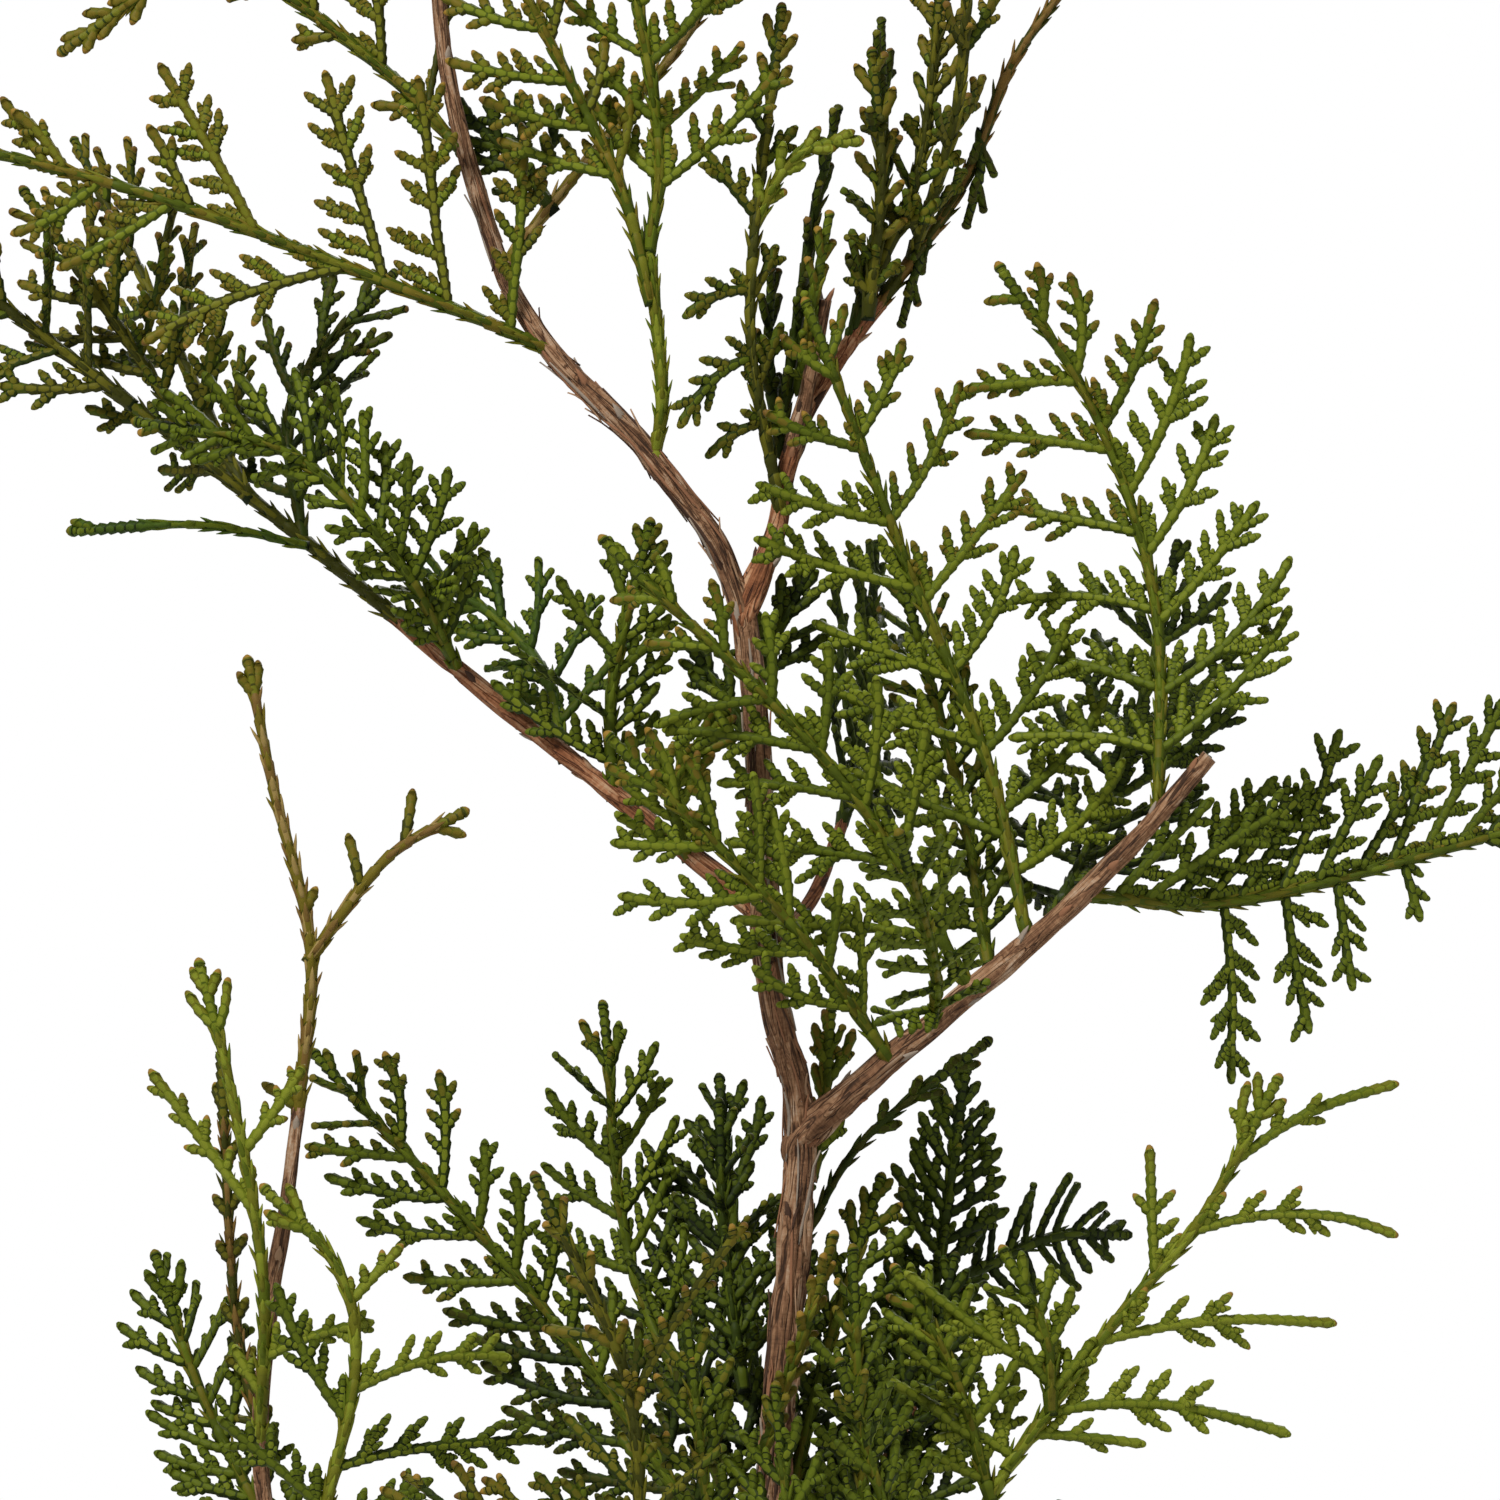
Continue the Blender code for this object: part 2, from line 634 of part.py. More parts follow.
def main():
    for obj in list(bpy.data.objects):
        bpy.data.objects.remove(obj)
    plant = bpy.data.collections.new("brabant_arborvitae")
    bpy.context.scene.collection.children.link(plant)
    barks = {
        "old": plain_material("brown_bark", (0.30, 0.17, 0.11), 0.85),
        "young": plain_material("green_bark", (0.22, 0.24, 0.05), 0.6),
    }
    greens = {
        "bright": plain_material("bright_foliage", (0.13, 0.22, 0.03), 0.55),
        "mid": plain_material("green_foliage", (0.09, 0.16, 0.03), 0.55),
        "dark": plain_material("shaded_foliage", (0.05, 0.10, 0.025), 0.6),
        "bronze": plain_material("bronzed_foliage", (0.14, 0.15, 0.03), 0.6),
    }
    trees = {}
    grow_limbs(plant, barks, trees)
    grow_sprays(plant, greens, trees)


main()
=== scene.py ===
import bisect
import math
import random

import bpy
import numpy as np
from mathutils import Matrix, Vector, noise


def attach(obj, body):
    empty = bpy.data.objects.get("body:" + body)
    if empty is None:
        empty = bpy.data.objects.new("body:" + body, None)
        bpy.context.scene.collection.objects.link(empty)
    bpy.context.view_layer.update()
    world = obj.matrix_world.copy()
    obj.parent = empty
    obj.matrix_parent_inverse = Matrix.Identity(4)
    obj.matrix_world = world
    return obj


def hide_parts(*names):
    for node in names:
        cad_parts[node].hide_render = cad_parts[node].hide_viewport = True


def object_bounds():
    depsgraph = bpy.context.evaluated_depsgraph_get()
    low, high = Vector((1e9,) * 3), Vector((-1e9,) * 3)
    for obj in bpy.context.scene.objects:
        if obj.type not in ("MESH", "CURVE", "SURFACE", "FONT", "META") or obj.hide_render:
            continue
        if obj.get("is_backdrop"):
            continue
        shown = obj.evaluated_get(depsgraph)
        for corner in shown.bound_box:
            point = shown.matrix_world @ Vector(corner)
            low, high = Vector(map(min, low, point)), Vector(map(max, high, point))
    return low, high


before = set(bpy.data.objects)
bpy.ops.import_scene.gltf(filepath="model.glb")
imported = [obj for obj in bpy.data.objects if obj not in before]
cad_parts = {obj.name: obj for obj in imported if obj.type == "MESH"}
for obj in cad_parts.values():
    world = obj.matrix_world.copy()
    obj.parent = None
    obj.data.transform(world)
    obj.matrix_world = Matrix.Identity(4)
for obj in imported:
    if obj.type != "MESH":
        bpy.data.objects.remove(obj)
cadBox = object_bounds()
mmToM = 0.001
allBody = "root"


def mm(point):
    return Vector(point) * mmToM


# Foliage colours as plain linear values. They are dealt out by spray, by twig and by the place on a twig
foliageColours = {
    # painted shade: the dark line in the creases between scales
    "gapShadeGreen": (0.005, 0.009, 0.001),
    "deepShade": (0.010, 0.017, 0.001),
    "shadeGreen": (0.024, 0.037, 0.002),
    "darkOlive": (0.040, 0.042, 0.003),
    "coolDark": (0.022, 0.042, 0.003),
    "coolGreen": (0.046, 0.078, 0.006),
    "midGreen": (0.056, 0.076, 0.003),
    "leafGreen": (0.088, 0.114, 0.005),
    "freshGreen": (0.134, 0.160, 0.009),
    "limeGreen": (0.174, 0.198, 0.015),
    "oliveGreen": (0.106, 0.098, 0.006),
    "warmOlive": (0.130, 0.100, 0.008),
    "stemGreen": (0.126, 0.128, 0.008),
    "oldStem": (0.150, 0.088, 0.020),
    "tanStem": (0.260, 0.180, 0.055),
    "goldTip": (0.240, 0.138, 0.020),
    "bronzeTip": (0.130, 0.072, 0.012),
}
flakeColours = {
    "darkBark": (0.060, 0.030, 0.018),
    "redBark": (0.240, 0.110, 0.055),
    "paleBark": (0.330, 0.200, 0.115),
    "greyBark": (0.270, 0.215, 0.165),
}
colourNames = [*foliageColours, *flakeColours]

# What a spray of each tone is coloured with: pairs for the edge scales and the face scales of its twigs, the
# same for a twig's end, the colours of its tips, its stem, and gap: painted shade in the creases between its
# scales
tones = {
    "lime": dict(
        twigs=(("leafGreen", "freshGreen"), ("freshGreen", "limeGreen"), ("leafGreen", "limeGreen")),
        ends=("freshGreen", "limeGreen"), ripe=("stemGreen", "limeGreen"),
        tips=("goldTip", "warmOlive", "goldTip"), stem=("stemGreen", "limeGreen", "leafGreen"),
        gap="midGreen",
    ),
    "bright": dict(
        twigs=(("midGreen", "leafGreen"), ("leafGreen", "freshGreen"), ("midGreen", "freshGreen")),
        ends=("leafGreen", "freshGreen"), ripe=("leafGreen", "warmOlive"),
        tips=("goldTip", "warmOlive", "bronzeTip"),
        stem=("midGreen", "stemGreen", "leafGreen", "oliveGreen"), gap="shadeGreen",
    ),
    "mid": dict(
        twigs=(("shadeGreen", "leafGreen"), ("midGreen", "leafGreen"), ("shadeGreen", "freshGreen")),
        ends=("midGreen", "leafGreen"), ripe=("midGreen", "oliveGreen"),
        tips=("warmOlive", "oliveGreen", "goldTip"), stem=("midGreen", "oliveGreen", "leafGreen"),
        gap="deepShade",
    ),
    "cool": dict(
        twigs=(("coolDark", "coolGreen"), ("coolGreen", "midGreen"), ("coolDark", "leafGreen")),
        ends=("coolGreen", "leafGreen"), tips=("oliveGreen", "leafGreen", "leafGreen"),
        stem=("coolGreen", "leafGreen"), gap="deepShade",
    ),
    # painted shade: the dark tone is dealt to sprays that stand behind the others or low in the crown
    "dark": dict(
        twigs=(("deepShade", "shadeGreen"), ("shadeGreen", "midGreen"), ("deepShade", "midGreen")),
        ends=("shadeGreen", "midGreen"), tips=("darkOlive", "oliveGreen", "midGreen"),
        stem=("shadeGreen", "midGreen"), gap="gapShadeGreen",
    ),
    "olive": dict(
        twigs=(("oliveGreen", "stemGreen"), ("midGreen", "freshGreen"), ("darkOlive", "stemGreen")),
        ends=("oliveGreen", "warmOlive"), tips=("goldTip", "bronzeTip", "goldTip"),
        stem=("midGreen", "oliveGreen", "stemGreen", "warmOlive"), gap="shadeGreen",
    ),
    "bronze": dict(
        twigs=(("shadeGreen", "oliveGreen"), ("darkOlive", "oliveGreen"), ("shadeGreen", "leafGreen")),
        ends=("midGreen", "oliveGreen"), ripe=("oliveGreen", "warmOlive"),
        tips=("bronzeTip", "goldTip", "bronzeTip"), stem=("darkOlive", "oliveGreen"), gap="deepShade",
    ),
    # painted shade: the deep tone is dealt to sprays that stand low, far back or inside the crown
    "deep": dict(
        twigs=(("shadeGreen", "midGreen"), ("deepShade", "shadeGreen"), ("shadeGreen", "darkOlive")),
        ends=("midGreen", "darkOlive"), tips=("darkOlive", "oliveGreen", "bronzeTip"),
        stem=("shadeGreen", "darkOlive"), gap="gapShadeGreen",
    ),
    "scaly": dict(
        twigs=(("darkOlive", "oliveGreen"), ("shadeGreen", "darkOlive")), ends=("darkOlive", "oliveGreen"),
        tips=("bronzeTip", "goldTip"), stem=("darkOlive", "bronzeTip", "oldStem"), gap="shadeGreen",
    ),
    "bare": dict(
        twigs=(("oliveGreen", "stemGreen"), ("darkOlive", "oliveGreen")), ends=("oliveGreen", "warmOlive"),
        tips=("goldTip", "bronzeTip"), stem=("warmOlive", "oldStem", "tanStem"), gap="darkOlive",
    ),
}


# Limbs: the routes of the CAD solids in mm, with the radius at the foot and at the end. The part of a limb
# past its share green isn't barked yet, and is made as a scaly green stem
limbs = {
    "trunk": dict(
        route=[(0, 0, 0), (0, 0, 10), (1, 0, 60), (0, 0, 110), (0, 0, 156), (4, 0, 208), (-1, -2, 236),
               (-5, 0, 291), (-19, -2, 316), (-36, -1, 334), (-46, 1, 354), (-54, 3, 395), (-47, 5, 460),
               (-43, 4, 500)],
        radius=(3.8, 0.5), sides=48,
    ),
    "right_bough": dict(
        route=[(4, 0, 208), (20, -4, 222), (49, -8, 247), (69, -10, 269)], radius=(2.4, 1.4),
    ),
    "left_bough": dict(
        route=[(-2, 0, 244), (-12, 2, 252), (-51, 7, 283), (-76, 9, 304), (-104, 9, 326)],
        radius=(1.8, 1.0), green=0.60, greenTone="bronze", bark="reddishBark",
    ),
    "right_leader": dict(
        route=[(-5, 0, 291), (0, 2, 305), (6, 4, 326), (29, 10, 359), (38, 12, 380), (49, 13, 396)],
        radius=(1.8, 0.8), green=0.50, greenTone="scaly", bark="reddishBark",
    ),
    "pruned_stub": dict(
        on="right_leader", route=[(3, 3, 318), (6, 0, 331), (8, -2, 342)], radius=(1.3, 1.1),
    ),
    "crossing_branch": dict(
        route=[(-43, 0, 347), (-37, 4, 356), (-15, 11, 384), (-9, 12, 396)], radius=(1.2, 0.8), green=0.12,
        greenTone="bare",
    ),
    "green_shoot": dict(
        route=[(-19, -2, 316), (-18, -6, 327), (-20, -8, 350)], radius=(1.3, 1.1), green=0.16,
        greenTone="lime",
    ),
    "back_bough": dict(
        route=[(-1, -2, 236), (6, 16, 246), (11, 31, 258)], radius=(1.4, 1.0), bark="reddishBark",
    ),
    "left_low_bough": dict(
        route=[(1, 0, 62), (-25, -5, 84), (-55, -9, 110), (-81, -10, 150), (-76, -7, 213)],
        radius=(1.9, 1.1),
    ),
    "right_low_bough": dict(
        route=[(0, 0, 96), (17, -9, 121), (37, -19, 157)], radius=(1.8, 1.2), green=0.7, greenTone="lime",
    ),
    "front_low_bough": dict(route=[(1, 0, 54), (-9, -26, 86), (-21, -48, 143)], radius=(1.6, 1.0)),
    "back_low_bough": dict(
        route=[(0, 0, 112), (12, 18, 140), (31, 30, 184)], radius=(1.5, 1.0), bark="reddishBark",
    ),
    "near_left_low_bough": dict(route=[(1, 0, 40), (-28, -20, 72), (-72, -27, 146)], radius=(1.7, 1.1)),
}

# Sprays: each stands for the solid of its name. group is the piece it is joined into, yaw turns its face
# from the viewer, reach is how far its side twigs go on the left and on the right, and stem is its route, in
# mm. Two numbers in place of one are for the left and the right. A fork is an extra side twig: the share of
# the stem, the side, the length, the angle and how far it bends towards the tip
# A spray's foot tone, where given, is a darker tone painted as shade on the twigs low on its stem
sprays = {
    "right_inner_spray": dict(
        group="right", yaw=12, reach=(23, 17), tone="bright", ripeFrom=0.45, pitch=(11, 9), angle=(50, 46),
        edgeOn=0, stem=[(18, -5, 221), (2, -17, 243), (-26, -29, 272)],
    ),
    "right_crossing_spray": dict(
        group="right", yaw=-12, reach=(30, 22), tone="bright", ripeFrom=0.6, pitch=(12.5, 11.5), taper=2.4,
        angle=(44, 46), bend=(-14, 22), edgeOn=0, stem=[(31, -6, 232), (10, -13, 266), (-27, -22, 303)],
    ),
    "right_middle_spray": dict(
        group="right", yaw=16, reach=(27, 27), tone="bright", ripeFrom=0.4, pitch=(14, 12.5),
        angle=(58, 66), bend=(10, 26), edgeOn=0,
        stem=[(40, -7, 241), (34, 1, 268), (21, 0, 300), (5, -8, 341)],
    ),
    "right_outer_spray": dict(
        group="right", yaw=-14, reach=(25, 30), tone="bright", ripeFrom=0.3, pitch=(14, 12), angle=(62, 56),
        bend=(-16, 30), edgeOn=0, stem=[(61, -9, 259), (61, 6, 294), (51, 6, 325), (36, -2, 347)],
    ),
    "right_reaching_spray": dict(
        group="right", yaw=8, reach=(26, 9), tone="mid", ripeFrom=0.4, firstTwig=(0.05, 0.78),
        pitch=(6.4, 9), taper=1.0, angle=48, bend=(4, 10),
        stem=[(49, -8, 247), (76, 6, 246), (130, 20, 260)],
        forks=((0.31, 1, 28, 90, 0), (0.43, 1, 22, 94, 0), (0.53, 1, 17, 96, 0), (0.66, 1, 9, 90, 0)),
    ),
    "right_back_spray": dict(
        group="back", yaw=-18, reach=(25, 23), tone="dark",
        stem=[(44, -7, 243), (53, 20, 259), (62, 46, 283), (67, 62, 304)],
    ),
    "left_inner_spray": dict(
        group="left", yaw=0, reach=(12, 9), tone="bright",
        stem=[(-14, 2, 253), (-16, -7, 264), (-8, -10, 276)],
    ),
    "left_middle_spray": dict(
        group="left", yaw=10, reach=(20, 11), tone="mid", ripeFrom=0.7, angle=(60, 50), bend=(16, 16),
        stem=[(-26, 4, 263), (-26, 1, 280), (-20, -4, 306)],
    ),
    "left_back_spray": dict(
        group="left", yaw=-12, reach=(11, 17), tone="cool",
        stem=[(-34, 6, 269), (-37, 16, 282), (-46, 25, 292), (-59, 32, 300)],
    ),
    "left_bright_spray": dict(
        group="left", yaw=14, reach=(8, 17), tone="mid", ripeFrom=0.8, pitch=5, roll=55,
        stem=[(-51, 7, 283), (-60, -9, 300), (-77, -12, 317), (-101, -14, 322)],
    ),
    "left_dark_spray": dict(
        group="left", yaw=-32, reach=(19, 19), tone="deep",
        stem=[(-76, 9, 304), (-78, 19, 327), (-62, 22, 347)],
    ),
    "left_upright_spray": dict(
        group="left", yaw=-20, reach=(15, 17), tone="bronze", pitch=8, roll=40,
        stem=[(-92, 9, 317), (-105, 13, 337), (-121, 13, 360)],
    ),
    "left_far_spray": dict(
        group="left", yaw=-52, reach=(20, 21), tone="bronze", pitch=11,
        stem=[(-85, 9, 311), (-101, 31, 343), (-115, 46, 370)],
    ),
    "left_bough_tip": dict(
        group="left", yaw=6, reach=(18, 17), tone="bronze", pitch=9, roll=40,
        stem=[(-104, 9, 326), (-125, 9, 342), (-143, 8, 354)],
    ),
    "upper_left_spray": dict(
        group="upper", yaw=4, reach=(16, 14), tone="olive", ripeFrom=-0.2, firstTwig=0.7, pitch=19,
        subs=0.95, stem=[(-36, -1, 334), (-53, -6, 341), (-99, -11, 358), (-137, -11, 368)],
        forks=((0.08, 1, 29, 67, 5), (0.18, 1, 36, 60, 5), (0.28, 1, 34, 53, 5), (0.48, 1, 30, 43, 5),
               (0.58, 1, 14, 46, 5), (0.80, 1, 12, 46, 5), (0.34, -1, 34, 30, -25),
               (0.61, -1, 20, 50, 10)),
    ),
    "top_left_spray": dict(
        group="upper", yaw=-8, reach=(8, 24), tone="olive", ripeFrom=-0.2, pitch=(15, 12),
        stem=[(-51, 2, 367), (-65, 5, 381), (-90, 4, 397), (-121, 2, 399)],
    ),
    "green_shoot_left_spray": dict(
        group="upper", yaw=10, reach=(20, 14), tone="olive", ripeFrom=-0.2, firstTwig=0.22, pitch=(9.5, 11),
        stem=[(-20, -8, 342), (-24, -9, 358), (-33, -11, 377), (-49, -14, 408)],
    ),
    "green_shoot_tip": dict(
        group="upper", yaw=-14, reach=(17, 24), tone="bright", ripeFrom=-0.2, pitch=(10, 9),
        stem=[(-20, -8, 350), (-19, -8, 372), (-31, -12, 432)],
    ),
    "centre_spray": dict(
        group="upper", yaw=26, reach=(5, 5), tone="bronze", ripeFrom=0.4, firstTwig=0.84, pitch=5,
        stem=[(1, 2, 308), (-4, -5, 340), (1, -6, 388)],
        forks=((0.20, -1, 10, 80, -50), (0.33, -1, 17, 92, -60), (0.46, -1, 12, 85, -50),
               (0.60, -1, 14, 45, 0), (0.27, 1, 10, 36, 10), (0.44, 1, 9, 34, 10), (0.70, 1, 8, 45, 10),
               (0.76, -1, 8, 45, 10)),
    ),
    "leader_inner_spray": dict(
        group="upper", yaw=64, reach=(10, 10), tone="deep", pitch=13,
        stem=[(12, 6, 335), (17, 1, 358), (17, -2, 386)],
    ),
    "leader_outer_spray": dict(
        group="upper", yaw=50, reach=(11, 11), tone="bronze", pitch=14,
        stem=[(22, 8, 349), (29, -3, 372), (31, -7, 400)],
    ),
    "right_leader_tip": dict(
        group="crown", yaw=-30, reach=(20, 20), tone="bronze",
        stem=[(49, 13, 396), (57, 14, 418), (60, 12, 448)],
    ),
    "crossing_branch_tip": dict(
        group="crown", yaw=44, reach=(16, 16), tone="bronze",
        stem=[(-9, 12, 396), (-4, 16, 418), (1, 20, 444)],
    ),
    "trunk_tip_spray": dict(
        group="crown", yaw=16, reach=(15, 15), tone="mid",
        stem=[(-43, 4, 500), (-42, 4, 522), (-40, 3, 550)],
    ),
    "trunk_top_left_spray": dict(
        group="crown", yaw=-34, reach=(23, 22), tone="mid",
        stem=[(-53, 4, 410), (-63, -6, 431), (-76, -16, 462)],
    ),
    "trunk_top_right_spray": dict(
        group="crown", yaw=38, reach=(22, 23), tone="mid",
        stem=[(-50, 4, 438), (-38, 13, 458), (-27, 21, 488)],
    ),
    "back_bough_spray": dict(
        group="back", yaw=52, reach=(18, 20), tone="dark", subs=0.7,
        stem=[(11, 31, 258), (15, 50, 277), (17, 68, 304)],
    ),
    "front_spray": dict(
        group="right", yaw=8, reach=(12, 12), tone="mid", ripeFrom=0.9, pitch=9,
        stem=[(25, -5, 226), (25, -28, 236), (19, -60, 257)],
    ),
    "left_shoot_tip": dict(
        group="shoots", yaw=8, reach=(5, 6), tone="bare", firstTwig=0.88, pitch=7, subs=0.4, leafy=0.08,
        stem=[(-76, -7, 213), (-74, -6, 238), (-80, -6, 264), (-84, -6, 284)],
        forks=((0.02, -1, 6, 60, 0), (0.45, 1, 3, 40, 0)),
    ),
    "left_green_shoot": dict(
        group="shoots", yaw=-10, reach=(8, 8), tone="lime", firstTwig=0.86, pitch=6, subs=0.6,
        stem=[(-82, -10, 160), (-81, -18, 186), (-86, -19, 216), (-91, -19, 236)],
        forks=((0.50, -1, 27, 30, 5), (0.62, 1, 16, 48, 10), (0.12, -1, 8, 40, 10), (0.20, 1, 20, 52, -15)),
    ),
    "left_edge_spray": dict(
        group="shoots", yaw=6, reach=(13, 13), tone="mid", ripeFrom=0.8,
        stem=[(-78, -10, 141), (-92, -2, 168), (-99, -1, 189)],
    ),
    "near_left_spray": dict(
        group="shoots", yaw=12, reach=(20, 28), tone="lime", shadedFootTone="mid", firstTwig=0.84, pitch=6,
        subs=0.8, stem=[(-72, -27, 146), (-66, -29, 173), (-69, -30, 189), (-80, -31, 201)],
        forks=((0.41, 1, 26, 50, -25), (0.21, 1, 34, 62, -20), (0.33, -1, 24, 48, 10), (0.64, 1, 11, 60, 5),
               (0.10, -1, 22, 58, 0), (0.06, 1, 18, 60, 0)),
    ),
    "mid_left_spray": dict(
        group="middle", yaw=-12, reach=(21, 17), tone="mid", shadedFootTone="deep", ripeFrom=0.5, pitch=8.4,
        subs=0.85, stem=[(0, 0, 128), (-34, 11, 176), (-74, 10, 221)],
    ),
    "behind_left_spray": dict(
        group="middle", yaw=-24, reach=(17, 17), tone="mid", shadedFootTone="dark", ripeFrom=0.8, pitch=8,
        stem=[(1, 0, 142), (-22, 27, 182), (-28, 34, 228)],
    ),
    "behind_trunk_spray": dict(
        group="middle", yaw=-6, reach=(20, 21), tone="dark",
        stem=[(1, 0, 152), (-5, 24, 180), (-9, 36, 216)],
    ),
    "behind_right_spray": dict(
        group="middle", yaw=10, reach=(12, 10), tone="dark", pitch=3.8, angle=60,
        stem=[(0, 0, 134), (22, 18, 168), (31, 20, 218)],
    ),
    "back_low_spray": dict(
        group="middle", yaw=24, reach=(11, 9), tone="dark", pitch=3.4, angle=(60, 80), roll=75, subs=0.45,
        stem=[(31, 30, 184), (45, 40, 190), (58, 50, 190)],
    ),
    "front_low_spray": dict(
        group="shoots", yaw=-14, reach=(4, 4), tone="bronze", pitch=9, roll=60, subs=0.4,
        stem=[(-21, -48, 143), (-23, -53, 172), (-37, -59, 204)],
        forks=((0.42, 1, 33, 36, -5), (0.58, -1, 10, 66, 0), (0.12, 1, 18, 40, 0), (0.2, -1, 16, 46, 0)),
    ),
    "right_low_spray": dict(
        group="middle", yaw=10, reach=(18, 10), tone="lime", firstTwig=(0.84, 0.88), pitch=7,
        subs=(0.9, 0.75), subsEnd=0.62,
        stem=[(37, -19, 157), (53, -22, 179), (67, -24, 196), (79, -26, 218)],
        forks=((0.81, 1, 28, 26, -34), (0.64, 1, 32, 32, -34), (0.34, 1, 37, 34, -30),
               (0.15, 1, 39, 36, -30), (0.10, 1, 17, 58, -10), (0.52, -1, 20, 50, 12),
               (0.22, -1, 31, 90, 5), (0.04, -1, 24, 92, 0)),
    ),
    "near_right_spray": dict(
        group="middle", yaw=20, reach=(14, 16), tone="mid", shadedFootTone="dark", ripeFrom=0.8, pitch=7,
        taper=2.6, stem=[(0, 0, 84), (13, -33, 130), (12, -44, 192)],
    ),
}

